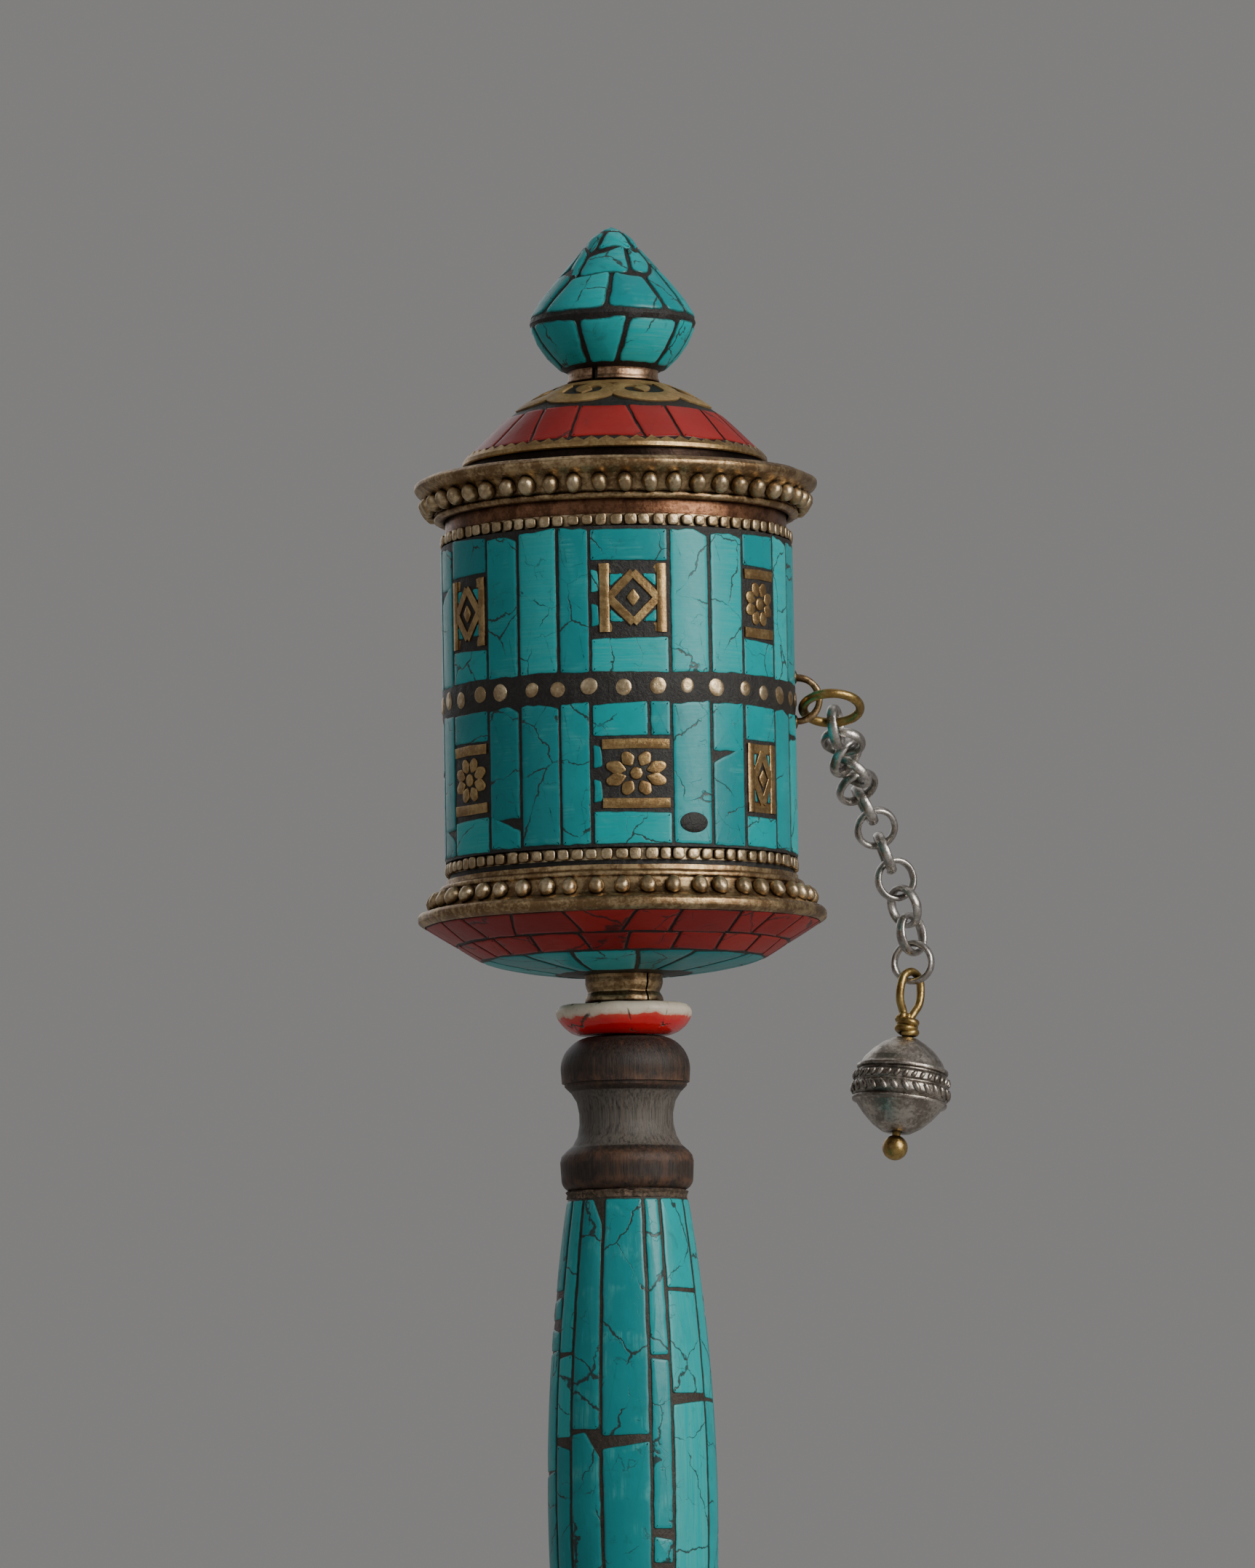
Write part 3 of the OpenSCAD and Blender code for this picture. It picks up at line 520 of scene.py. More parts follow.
def raised(z, outline):
    """The (radius, height) points moved up by z."""
    return [(r, z + h) for r, h in outline]


def inset(points, by):
    """The closed 2D outline moved inwards; the outline runs anticlockwise."""
    moved = []
    count = len(points)
    for i in range(count):
        a = (points[i] - points[i - 1]).normalized()
        b = (points[(i + 1) % count] - points[i]).normalized()
        na, nb = Vector((-a.y, a.x)), Vector((-b.y, b.x))
        way = na + nb
        if way.length < 1e-6:
            way = na
        way.normalize()
        moved.append(points[i] + way * by / max(0.6, way.dot(na)))
    return moved


def ragged(corners, wave=0.05, step=1.0, soft=0.3, waves=None):
    """A closed 2D outline in mm with uneven sides and soft corners. waves gives each side its own wave."""
    outline = []
    count = len(corners)
    for i in range(count):
        p, q, o = corners[i], corners[(i + 1) % count], corners[i - 1]
        back = min(soft, (o - p).length * 0.3)
        ahead = min(soft, (q - p).length * 0.3)
        cut_a = p + (o - p).normalized() * back
        cut_b = p + (q - p).normalized() * ahead
        outline.extend([cut_a, p.lerp((cut_a + cut_b) / 2, 0.5), cut_b])
        length = (q - p).length
        pieces = int(length / step)
        out = Vector(((q - p).y, -(q - p).x)).normalized()
        amount = waves[i] if waves else wave
        for k in range(1, pieces):
            outline.append(p.lerp(q, k / pieces) + out * rnd.uniform(-amount, amount))
    return outline


def area(points):
    return sum(p.x * q.y - q.x * p.y for p, q in zip(points, points[1:] + points[:1])) / 2


def chip(build, turned, corners, rise=0.0, depth=0.55, bevel=0.14, puff=0.03, tone=None, **cut):
    """A chip let into a turned surface, from its (angle, length) corners. It stands out by rise mm."""
    tone = rnd.random() if tone is None else tone
    a_mid = sum(a for a, s in corners) / len(corners)
    s_mid = sum(s for a, s in corners) / len(corners)
    k = turned.per_degree(s_mid)
    flat = [Vector(((a - a_mid) * k, s - s_mid)) for a, s in corners]
    if area(flat) < 0:
        flat.reverse()
        if cut.get("waves"):
            cut["waves"] = cut["waves"][-2::-1] + cut["waves"][-1:]
    flat = ragged(flat, **cut)
    tip = rnd.uniform(-0.03, 0.03)
    xs, ys = [p.x for p in flat], [p.y for p in flat]
    width = min(max(xs) - min(xs), max(ys) - min(ys))
    bevel = min(bevel, width * 0.12)
    far_in = min(bevel + 0.4, width * 0.24)

    def loop(points, lift, edge):
        return build.ring([turned.at(a_mid + p.x / k, s_mid + p.y, lift) for p in points], tone, edge)

    loops = [
        loop(flat, -depth, 1.0),
        loop(flat, rise - bevel * 0.9, 1.0),
        loop(inset(flat, bevel * 0.35), rise - bevel * 0.3, 0.95),
        loop(inset(flat, bevel), rise, 0.62),
        loop(inset(flat, far_in), rise + puff * 0.3 + tip * 0.2, 0.12),
    ]
    middle = inset(flat, far_in)
    for share in (0.72, 0.4):
        loops.append(loop([p * share for p in middle], rise + puff * (1 - share * share), 0.0))
    build.tubes(loops)
    build.fan(loops[-1], turned.at(a_mid, s_mid, rise + puff), tone)
    build.faces.append(tuple(reversed(loops[0])))


def stroke(build, turned, a, s, path, width, rise=0.12, depth=0.5):
    """A raised strip of metal along a path of (x, y) mm about the point (a, s) of a turned surface."""
    k = turned.per_degree(s)
    path = [Vector(p) for p in path]
    shape = [
        (-0.5, -depth), (-0.5, rise - 0.06), (-0.44, rise), (0.0, rise),
        (0.44, rise), (0.5, rise - 0.06), (0.5, -depth),
    ]
    loops = []
    for i, p in enumerate(path):
        way = (path[min(i + 1, len(path) - 1)] - path[max(i - 1, 0)]).normalized()
        side = Vector((way.y, -way.x))
        size = width(i / (len(path) - 1)) if callable(width) else width
        loop = []
        for across, lift in shape:
            q = p + side * across * size
            loop.append(turned.at(a + q.x / k, s + q.y, lift))
        loops.append(build.ring(loop))
    build.tubes(loops)
    build.faces.append(tuple(loops[0]))
    build.faces.append(tuple(reversed(loops[-1])))


def curve(points, count=8):
    """A smooth run of points through the given ones (Catmull-Rom)."""
    points = [Vector(p) for p in points]
    full = [points[0], *points, points[-1]]
    smooth = []
    for p, q, r, s in zip(full, full[1:], full[2:], full[3:]):
        for t in (i / count for i in range(count)):
            square = 2 * p - 5 * q + 4 * r - s
            cube = 3 * q - p - 3 * r + s
            smooth.append(0.5 * (2 * q + (r - p) * t + square * t * t + cube * t ** 3))
    smooth.append(points[-1])
    return smooth


def wire(build, path, radius, sides=14):
    """A round wire along a path of 3D points, with domed ends."""
    loops = []
    last = len(path) - 1
    normal = None
    for i, p in enumerate(path):
        way = (path[min(i + 1, last)] - path[max(i - 1, 0)]).normalized()
        if normal is None:
            normal = way.orthogonal().normalized()
        normal = (normal - way * normal.dot(way)).normalized()
        other = way.cross(normal)
        size = radius(i / last) if callable(radius) else radius
        loops.append(build.ring([
            p + (normal * math.cos(t) + other * math.sin(t)) * size
            for t in (2 * math.pi * j / sides for j in range(sides))
        ]))
    build.tubes(loops)
    for ring, p, q in ((loops[0], path[0], path[1]), (loops[-1], path[-1], path[-2])):
        size = (build.points[ring[0]] - p).length
        out = (p - q).normalized()
        brow = build.ring([p + (build.points[j] - p) * 0.7 + out * size * 0.5 for j in ring])
        build.band(ring, brow)
        build.fan(brow, p + out * size * 0.7)


def blob(build, place, radii, flat_top=1.0, rings=7, sides=14):
    """An egg-shaped bead, rubbed flat at flat_top of its height. place maps its axes to the row frame."""
    loops = []
    for i in range(1, rings):
        t = math.pi * i / rings
        z = min(math.cos(t), flat_top)
        across, along = radii[0] * math.sin(t), radii[1] * math.sin(t)
        loops.append(build.ring([
            place @ Vector((across * math.cos(u), along * math.sin(u), radii[2] * z))
            for u in (2 * math.pi * j / sides for j in range(sides))
        ]))
    build.tubes(loops)
    build.fan(loops[0], place @ Vector((0, 0, radii[2] * min(1.0, flat_top))))
    build.fan(loops[-1], place @ Vector((0, 0, -radii[2])))


def frame_at(a, r, z, slope=0.0, spin=0.0):
    """A matrix at a point round the axle: +Z outwards tipped up by slope degrees, +Y up, spun about +Z."""
    p = axis_point(r, z, a)
    out = axis_point(1, 0, a)
    matrix = Matrix((
        (math.cos(math.radians(a)), 0, out.x, p.x),
        (math.sin(math.radians(a)), 0, out.y, p.y),
        (0, 1, 0, p.z),
        (0, 0, 0, 1),
    ))
    tip, turn = Matrix.Rotation(math.radians(-slope), 4, "X"), Matrix.Rotation(math.radians(spin), 4, "Z")
    return matrix @ tip @ turn


def mosaic_row(build, turned, s0, s1, count, start, grout, slant, jitter, bend=(0, 0), tones=(0, 1), **look):
    """A row of chips round a turned surface, from s0 to s1 along its outline.

    Its joints slant by up to slant mm, and its two edges wander by up to bend mm, in step with the next rows.
    """
    joints = []
    for i in range(count):
        a = start + 360 / count * (i + rnd.uniform(-0.2, 0.2))
        lean = rnd.uniform(-slant, slant) / 2
        joints.append((a + lean / turned.per_degree(s0), a - lean / turned.per_degree(s1)))

    def edge(s, amount, a):
        turn = math.radians(a)
        return s + 2 * amount * noise.noise(Vector((3 * math.sin(turn), 3 * math.cos(turn), s)))

    for i in range(count):
        left = joints[i]
        right = joints[(i + 1) % count]
        turn = 360 if i == count - 1 else 0
        g0 = grout / 2 / turned.per_degree(s0)
        g1 = grout / 2 / turned.per_degree(s1)
        lower = [left[0] + g0, (left[0] + right[0] + turn) / 2, right[0] + turn - g0]
        upper = [right[1] + turn - g1, (left[1] + right[1] + turn) / 2, left[1] + g1]
        lift = [rnd.uniform(-jitter, jitter) for _ in range(6)]
        corners = [(a, edge(s0, bend[0], a) + grout / 2 + up) for a, up in zip(lower, lift)]
        corners += [(a, edge(s1, bend[1], a) - grout / 2 + up) for a, up in zip(upper, lift[3:])]
        chip(build, turned, corners, tone=rnd.uniform(*tones), **look)


# ------------------------------------------------------------------ levels

drum_z = low("base_bed")
crown_z = low("crown_ring")
dome_z = low("lid_edge_band")
finial_z = low("finial_ferrule")
grip_z = low("grip_bed")
grip_top = high("grip_bed")
neck_z = low("neck_post")
washer_z = low("bone_washer")
bush_z = low("lower_bush")
AXLE_R = 2.05
DRUM_R = 25.0


# ------------------------------------------------------------------ drum

ROWS = ((drum_z + 16.6, drum_z + 36.5), (drum_z + 40.6, drum_z + 60.8))
BAND_Z = drum_z + 38.6
STRIPS = (drum_z + 15.3, drum_z + 62.0)
# Widths of the mosaic's columns in degrees from COLUMNS_FROM, and whether each holds an ornament
COLUMNS_FROM = -68.0
COLUMNS = (
    (21, 1), (13.5, 0), (14, 0), (10.5, 0), (26, 1), (14, 0), (13.5, 0), (16.5, 1),
    (12, 0), (17, 0), (14, 0), (22, 1), (13, 0), (15, 0), (12, 0), (24, 1),
    (14, 0), (12, 0), (16, 0), (20, 1), (15, 0), (12, 0), (13, 0),
)
GROUT = 0.36

PANEL_W, PANEL_H = 9.4, 9.6  # the widest an ornament gets, and its height
# The filler's ends, and the wall that the stones are let into
FILLER_FOOT, FILLER_TOP = drum_z + 13.8, drum_z + 62.8
WALL_FOOT, WALL_TOP = drum_z + 13, drum_z + 64

wall = Turned([(DRUM_R, WALL_FOOT), (DRUM_R, WALL_TOP)])
K = wall.per_degree(1.0)  # mm to a degree


def wall_s(z):
    """The length along the wall's outline at a level."""
    return z - WALL_FOOT


def ornament(build, teal, a, s, wide, kind):
    """A brass panel: a rosette between two bars, or a lozenge in a frame with small stones in its corners."""
    w, h = wide / 2, PANEL_H / 2
    if kind == 0:
        for side in (-1, 1):
            bar = [(-w, side * (h - 0.7)), (0, side * (h - 0.62)), (w, side * (h - 0.7))]
            stroke(build, wall, a, s, bar, 1.4)
        for i in range(8):
            turn = math.radians(45 * i + 22.5)
            tip = Vector((math.cos(turn) * w, math.sin(turn) * (h - 1.5))) * 0.98
            side = Vector((-tip.y, tip.x)).normalized() * 1.05
            half = [(0.62, 1.0), (0.95, 0.5)]
            petal = [tip * 0.3, *(tip * out - side * across for out, across in half)]
            petal += [tip, *(tip * out + side * across for out, across in reversed(half))]
            corners = [(a + p.x / K, s + p.y) for p in petal]
            chip(build, wall, corners, rise=0.1, bevel=0.12, tone=0.5, wave=0.04, soft=0.4)
        turns = [math.pi * j / 4 for j in range(8)]
        heart = [(a + math.cos(t) * 0.95 / K, s + math.sin(t) * 0.95) for t in turns]
        chip(build, wall, heart, rise=0.16, bevel=0.2, tone=0.5, wave=0.0, soft=0.2)
    else:
        frame_w = 1.35
        for side in (-1, 1):
            px, py = side * (w - frame_w / 2), side * (h - frame_w / 2)
            stroke(build, wall, a, s, [(px, -h), (px, h)], frame_w)
            stroke(build, wall, a, s, [(-w, py), (w, py)], frame_w)
        x, y = w - frame_w + 0.1, h - frame_w + 0.1
        for p, q in (((-x, 0), (0, y)), ((0, y), (x, 0)), ((x, 0), (0, -y)), ((0, -y), (-x, 0))):
            stroke(build, wall, a, s, [p, ((p[0] + q[0]) / 2, (p[1] + q[1]) / 2), q], 1.15)
        heart = [(a + px / K, s + py) for px, py in ((-1.0, 0), (0, -1.35), (1.0, 0), (0, 1.35))]
        chip(build, wall, heart, rise=0.14, bevel=0.15, tone=0.5, wave=0.0)
        for sx in (-1, 1):
            for sy in (-1, 1):
                corner = [(x - 0.2, 1.5), (x - 0.2, y - 0.2), (1.2, y - 0.2)]
                corner = [(a + sx * px / K, s + sy * py) for px, py in corner]
                chip(teal, wall, corner, rise=-0.02, bevel=0.08, wave=0.05)


def fill_column(build, a0, a1, s0, s1):
    """One stone, or two cut across, with ragged ends. Some lack an upper corner, where resin shows."""
    cuts = []
    if rnd.random() < 0.3:
        cuts.append(s0 + (s1 - s0) * rnd.uniform(0.12, 0.88))
    marks = [s0, *cuts, s1]
    for lower, upper in zip(marks, marks[1:]):
        top_lean = rnd.uniform(-1.4, 1.4)
        gap0 = GROUT / 2 if lower != s0 else 0.0
        gap1 = GROUT / 2 if upper != s1 else rnd.choice((0.0, 0.1, 0.5))
        lean = top_lean if upper != s1 else rnd.uniform(-0.3, 0.3)
        corners = [
            (a0, lower + gap0 + rnd.uniform(-0.15, 0.15)), (a1, lower + gap0 + rnd.uniform(-0.15, 0.15)),
            (a1, upper - gap1 + lean), (a0, upper - gap1 - lean),
        ]
        waves = [0.12, 0.03, 0.16, 0.03]
        if upper == s1 and rnd.random() < 0.35:
            waves.insert(2, 0.1)
            inner = a1 + (a0 - a1) * rnd.uniform(0.3, 0.5)
            corners[2:3] = [(a1, upper - gap1 - rnd.uniform(0.5, 1.2)), (inner, upper - gap1 + lean / 2)]
        chip(build, wall, corners, waves=waves)


def make_drum_mosaic():
    panels = Build()
    for index, (z0, z1) in enumerate(ROWS):
        teal = Build()
        s0, s1 = wall_s(z0), wall_s(z1)
        a = COLUMNS_FROM
        for i, (width, panel) in enumerate(COLUMNS):
            gap = GROUT / 2 / K
            a0, a1 = a + gap + rnd.uniform(-0.2, 0.2), a + width - gap + rnd.uniform(-0.2, 0.2)
            a += width
            if not panel:
                fill_column(teal, a0, a1, s0, s1)
                continue
            middle = (s0 + s1) / 2 + rnd.uniform(-0.4, 0.4)
            wide = (a1 - a0) * K
            side = max(0.0, min(2.2, wide - 8.9))
            wide = min(PANEL_W, wide - 0.5)
            centre = a1 - (wide / 2 + 0.25) / K if side > 1 else (a0 + a1) / 2
            ornament(panels, teal, centre, middle, wide, (i + index) % 2)
            if side > 1:
                for sign in (-1, 1):
                    edge = a0 + (side - 0.75) / K
                    lower = middle + sign * 2.4 - 1.7
                    box = [(a0, lower), (edge, lower + 0.3), (edge - 0.5, lower + 3.1), (a0, lower + 3.4)]
                    chip(teal, wall, box, wave=0.08)
            share = rnd.uniform(0.55, 0.8)
            split = a0 + (a1 - a0) * share
            lean = rnd.uniform(-0.5, 0.5)
            clear = PANEL_H / 2 + 0.45
            for lower, upper in ((s0, middle - clear), (middle + clear, s1)):
                if wide > 8 and rnd.random() < 0.6:
                    chip(teal, wall, [(a0, lower), (split, lower), (split + lean, upper), (a0, upper - 0.5)])
                    far = split + gap * 2
                    chip(teal, wall, [(far, lower), (a1, lower), (a1, upper), (far + lean, upper)])
                else:
                    tip = rnd.uniform(-0.5, 0.3)
                    box = [(a0, lower), (a1, lower + tip / 2), (a1, upper - 0.2), (a0, upper + tip)]
                    chip(teal, wall, box)
        row = ("lower", "upper")[index]
        teal.piece(f"drum_stones_{row}", turned_teal, "drum", [f"drum_tiles_{row}"])
    panels.piece("drum_panels", inlay_brass, "drum", ["drum_ornaments"])


def make_drum_filler():
    """The black filler of the wall, lumpy in the middle band, with a groove behind each beaded strip."""
    build = Build()
    inner = DRUM_R - 1.8
    face = DRUM_R - 0.12
    groove = DRUM_R - 0.75
    levels = [(groove, FILLER_FOOT), (groove, STRIPS[0] + 0.75), (face, STRIPS[0] + 0.95)]
    levels += [(face, z) for z in (drum_z + 20, drum_z + 25, drum_z + 30, drum_z + 35.8)]
    levels += [(face + 0.1, drum_z + 36.9), (face + 0.16, BAND_Z), (face + 0.1, drum_z + 40.4)]
    levels += [(face, z) for z in (drum_z + 41.5, drum_z + 46, drum_z + 51, drum_z + 56)]
    levels += [(face, STRIPS[1] - 0.95), (groove, STRIPS[1] - 0.75), (groove, FILLER_TOP)]
    outline = dense([(inner, FILLER_FOOT), *levels, (inner, FILLER_TOP)], 0.9)
    lathe(build, outline, 260, wobble=0.09, grain=0.8)
    blob(build, frame_at(24, DRUM_R, drum_z + 19.6), (2.1, 1.45, 0.3), rings=9, sides=22)
    build.piece("drum_filler", black_filler, "drum", ["drum_bed"])


def make_studs():
    build = Build()
    count = 34
    for i in range(count):
        a = 360 / count * i + 2 + rnd.uniform(-1.2, 1.2)
        z = BAND_Z + rnd.uniform(-0.25, 0.25)
        size = rnd.uniform(1.12, 1.36)
        place = frame_at(a, DRUM_R - 0.17, z, spin=rnd.uniform(0, 90))
        blob(build, place, (size, size * rnd.uniform(0.9, 1.1), 0.58), flat_top=0.6, rings=8, sides=18)
    build.piece("drum_studs_rubbed", bead_brass, "drum", ["drum_studs"])


def make_strip(name, node, z):
    """A beaded strip: small square pillows stamped in a thin ribbon."""
    build = Build()
    count = 76
    look = dict(depth=0.8, bevel=0.22, puff=0.08, wave=0.03, soft=0.5, step=3.0)
    back, front = DRUM_R - 0.9, DRUM_R - 0.62
    lathe(build, [(back, z - 0.8), (front, z - 0.8), (front, z + 0.8), (back, z + 0.8)], 132)
    step = 360 / count
    for i in range(count):
        a = step * (i + rnd.uniform(-0.08, 0.08))
        half = step * rnd.uniform(0.36, 0.43)
        lean = rnd.uniform(-0.25, 0.25)
        top = 0.78 + rnd.uniform(-0.12, 0.08)
        s = wall_s(z)
        corners = [(a - half, s - top), (a + half, s - top)]
        corners += [(a + half + lean, s + top), (a - half + lean, s + top)]
        chip(build, wall, corners, rise=rnd.uniform(-0.1, 0.12), tone=0.5, **look)
    build.piece(name, bead_brass, "drum", [node], sharp=55)


def make_pearls(name, node, count, r, z, body, size, slope, start=0.0):
    """Pearls stamped in a moulding, rubbed flat on their outer side."""
    build = Build()
    for i in range(count):
        a = start + 360 / count * (i + rnd.uniform(-0.07, 0.07))
        wide = size * rnd.uniform(0.8, 0.93)
        tall = size * rnd.uniform(1.0, 1.12)
        place = frame_at(a, r, z + rnd.uniform(-0.08, 0.08), slope, rnd.uniform(-12, 12))
        blob(build, place, (wide, tall, size * 1.02), flat_top=rnd.uniform(0.8, 0.9), rings=9, sides=16)
    build.piece(name, bead_brass, body, [node], sharp=50)


def make_base():
    z = drum_z
    # The worn brass moulding, from its flat underside out over the rim and up the cove to the drum's wall
    outline = [
        (27.7, 8.3), (27.98, 7.2), (28.5, 7.5), (28.92, 7.85), (28.95, 8.7), (28.6, 9.15), (28.2, 9.3),
        (27.7, 9.15), (27.2, 9.55), (26.6, 9.9), (26.1, 10.6), (25.7, 11.6), (25.62, 12.0),
        (25.85, 12.25), (25.8, 12.75), (25.45, 12.95), (24.9, 13.1), (24.9, 13.8), (23.2, 13.8),
        (23.2, 10), (27.3, 9.1),
    ]
    turned_piece(
        "base_moulding", brass, "drum", "brass", "base_ring",
        eased(raised(z, outline), 0.16), 260, wobble=0.14, grain=0.16,
    )
    make_pearls("base_pearls_rubbed", "base_pearls", 46, 26.55, z + 10.75, "drum", 1.25, 28)
    coral_face = Turned(raised(z, [(19.7, 2.1), (28.45, 7.55)]))
    teal_face = Turned(raised(z, [(5.2, -0.2), (9, 0.2), (14, 0.95), (18, 1.72), (19.9, 2.3)]))
    outline = [
        (5.6, 0.1), (9, 0.32), (14, 1.07), (18, 1.84), (19.7, 2.25), (28.45, 7.7),
        (27.4, 8.35), (19.3, 3.5), (9, 1.6), (5.6, 1.5),
    ]
    turned_piece(
        "base_filler", black_filler, "drum", "black_resin", "base_bed",
        dense(raised(z, outline), 1.1), 240, wobble=0.1, grain=0.7,
    )
    stones = Build()
    mosaic_row(stones, coral_face, 0.35, 4.5, 21, 3, grout=0.32, slant=1.6, jitter=0.18, rise=0.02)
    mosaic_row(stones, coral_face, 4.5, 9.75, 21, 0, grout=0.32, slant=2.4, jitter=0.15, rise=0.02)
    stones.piece("base_coral_stones", coral, "drum", ["base_coral_tiles"])
    stones = Build()
    mosaic_row(stones, teal_face, 4.2, 14.8, 13, 8, grout=0.45, slant=1.4, jitter=0.35, rise=0.03, puff=0.1)
    stones.piece("base_turquoise_stones", turned_teal, "drum", ["base_turquoise_tiles"])


def make_bush():
    """Rolled brass strip: flared above, waisted, with an open seam."""
    seam, half = 38, 1.6  # degrees
    outline = [
        (AXLE_R, 0), (5.35, 0), (5.5, 0.3), (5.42, 0.9), (5.2, 1.35), (5.05, 1.55), (5.1, 1.8),
        (5.35, 2.3), (5.5, 2.9), (5.45, 3.6), (5.6, 4.2), (5.5, 5.2), (AXLE_R, 5.2),
    ]
    turned_piece(
        "lower_bush_rolled", brass, "drum", "brass", "lower_bush",
        eased(raised(bush_z, outline), 0.12), 120,
        wobble=0.16, grain=0.35, a0=seam + half, a1=seam + 360 - half,
    )


def make_neck_band():
    outline = raised(FILLER_TOP, [(23.2, 0), (24.15, 0), (24.2, 1.1), (24.15, 4.2), (23.2, 4.2)])
    turned_piece(
        "drum_neck_band", copper, "drum", "copper", "drum_neck",
        dense(outline, 0.8), 220, wobble=0.08, grain=0.3,
    )


def make_eyelet():
    build = Build()
    z = (low("chain_eyelet") + high("chain_eyelet")) / 2
    x, r = DRUM_R + 0.3, 3.1
    path = [Vector((x - 1.5, 0, z + r + 0.2))]
    for i in range(25):
        t = math.radians(90 - 180 * i / 24)
        path.append(Vector((x + r * math.cos(t), 0, z + r * math.sin(t))))
    path.append(Vector((x - 1.5, 0, z - r - 0.2)))
    wire(build, path, lambda t: 0.5 + 0.03 * math.sin(t * 19))
    for side in (-1, 1):
        place = frame_at(90, DRUM_R, z + side * (r + 0.1))
        blob(build, place, (0.95, 1.0, 0.35), rings=8, sides=16)
    build.piece("eyelet_wire", brass, "drum", ["chain_eyelet"])


def make_scroll():
    """A roll of paper, wound from the tube outwards, in its cloth wrap with two ties."""
    z0, z1 = low("mantra_scroll"), high("mantra_scroll")
    build = Build()
    turns, sides = 26, 48
    loops = []
    for i in range(turns * sides + 1):
        share = i / (turns * sides)
        a = 360 * i / sides
        r = 3.3 + (20.5 - 3.3) * share
        sag = 0.35 * noise.noise(Vector((r * 0.6, 0, a / 200)))
        sheet = [(r, z0), (r + 0.42, z0), (r + 0.42, z1 + sag), (r, z1 + sag)]
        loops.append(build.ring([axis_point(*corner, a) for corner in sheet]))
    for a, b in zip(loops, loops[1:]):
        build.band(a, b)
    build.faces.append(tuple(loops[0]))
    build.faces.append(tuple(reversed(loops[-1])))
    build.piece("paper_scroll", paper, "drum", ["mantra_scroll"])


# ------------------------------------------------------------------ lid

# Radius and height above dome_z, from the rim up
DOME = [
    (21.2, 1.2), (19.6, 2.7), (18.3, 4), (17, 5.3), (15.4, 6.8),
    (14.4, 7.6), (12.8, 8.8), (10.8, 10), (8.6, 10.9), (7.3, 11.3),
]


def make_lid():
    outline = [
        (24.45, 0), (25.45, -0.05), (25.85, 0.25), (25.85, 0.75), (25.55, 0.98), (25.85, 1.25),
        (26.15, 1.9), (26.6, 2.7), (27.1, 3.3), (27.8, 3.75), (28.3, 4.1), (28.62, 4.5), (28.66, 5.0),
        (28.4, 5.35), (28.1, 5.3), (27.6, 5.75), (27.0, 5.6), (26.4, 5.0), (25.5, 4.3), (24.45, 3.4),
    ]
    turned_piece(
        "crown_moulding", brass, "lid", "brass", "crown_ring",
        eased(raised(crown_z, outline), 0.14), 260, wobble=0.16, grain=0.16,
    )
    make_pearls("crown_pearls_rubbed", "crown_pearls", 48, 26.75, crown_z + 2.05, "lid", 1.3, -32, 3)
    dome = Turned(raised(dome_z, DOME))
    under = [(r - 0.62, dome_z + h - 0.66) for r, h in DOME]
    skin = [(r - 0.1, dome_z + h - 0.1) for r, h in DOME[1:]]
    top = [(6.45, dome_z + 11.35), (6.45, dome_z + 10.7)]
    outline = [(20.35, dome_z + 1.25), (21.0, dome_z + 1.25), *skin, *top, *reversed(under[1:])]
    turned_piece(
        "dome_filler", black_filler, "lid", "black_resin", "lid_bed",
        dense(outline, 1.0), 220, wobble=0.1, grain=0.7,
    )
    stones = Build()
    end = dome.marks[4]
    mosaic_row(stones, dome, 0.45, end + 0.1, 17, 6, grout=0.3, slant=2.6, jitter=0.3, rise=0.03)
    stones.piece("dome_coral_stones", coral, "lid", ["lid_coral_tiles"])
    petals = Build()
    count = 8
    middle = (dome.marks[5] + dome.marks[9]) / 2
    for i in range(count):
        a = 360 / count * i + 22
        side = 1 if i % 2 else -1
        scroll = curve([
            (-side * 4.3, 2.2), (-side * 4.5, -0.2), (-side * 3.0, -2.3), (0, -3.05), (side * 3.0, -2.2),
            (side * 3.9, -0.2), (side * 2.7, 1.5), (side * 0.7, 1.5), (-side * 0.2, 0.2), (side * 0.9, -0.9),
        ], 6)
        size = rnd.uniform(2.2, 2.5)
        stroke(petals, dome, a, middle, scroll, lambda t: size * (1.0 - 0.3 * t), rise=0.16, depth=0.4)
    collar = [(8.9, 10.6), (9.1, 10.85), (8.7, 11.1), (7.6, 11.45), (7.2, 11.2)]
    lathe(petals, raised(dome_z, collar), 140, wobble=0.08, grain=0.5)
    petals.piece("dome_scrolls", dull_brass, "lid", ["lid_petals"])
    # The band round the dome's edge, with its upper edge cut in teeth
    build = Build()
    teeth, steps = 62, 4
    loops = []
    for i in range(teeth * steps):
        a = 360 * i / (teeth * steps)
        tooth = (0.0, 0.3, 0.62, 0.3)[i % steps] * rnd.uniform(0.8, 1.15)
        outline = [
            (20.35, 0), (21.62, 0.02), (21.72, 0.2), (21.66, 0.75), (21.42 - tooth * 0.9, 1.1 + tooth),
            (21.2 - tooth * 0.9, 1.1 + tooth), (20.35, 1.2),
        ]
        loops.append(build.ring([axis_point(*p, a) for p in raised(dome_z, outline)]))
    build.tubes(loops, closed=True)
    build.piece("dome_edge_band", inlay_brass, "lid", ["lid_edge_band"], sharp=30)
    outline = [
        (AXLE_R, 8.8), (4.6, 8.8), (6.35, 9.5), (6.4, 11.3), (7.6, 11.22), (7.55, 11.45), (6.9, 11.62),
        (5.2, 11.65), (AXLE_R, 11.6),
    ]
    turned_piece(
        "dome_collar", copper, "lid", "copper", "top_bush",
        eased(raised(dome_z, outline), 0.08), 120, wobble=0.05,
    )


# ------------------------------------------------------------------ finial


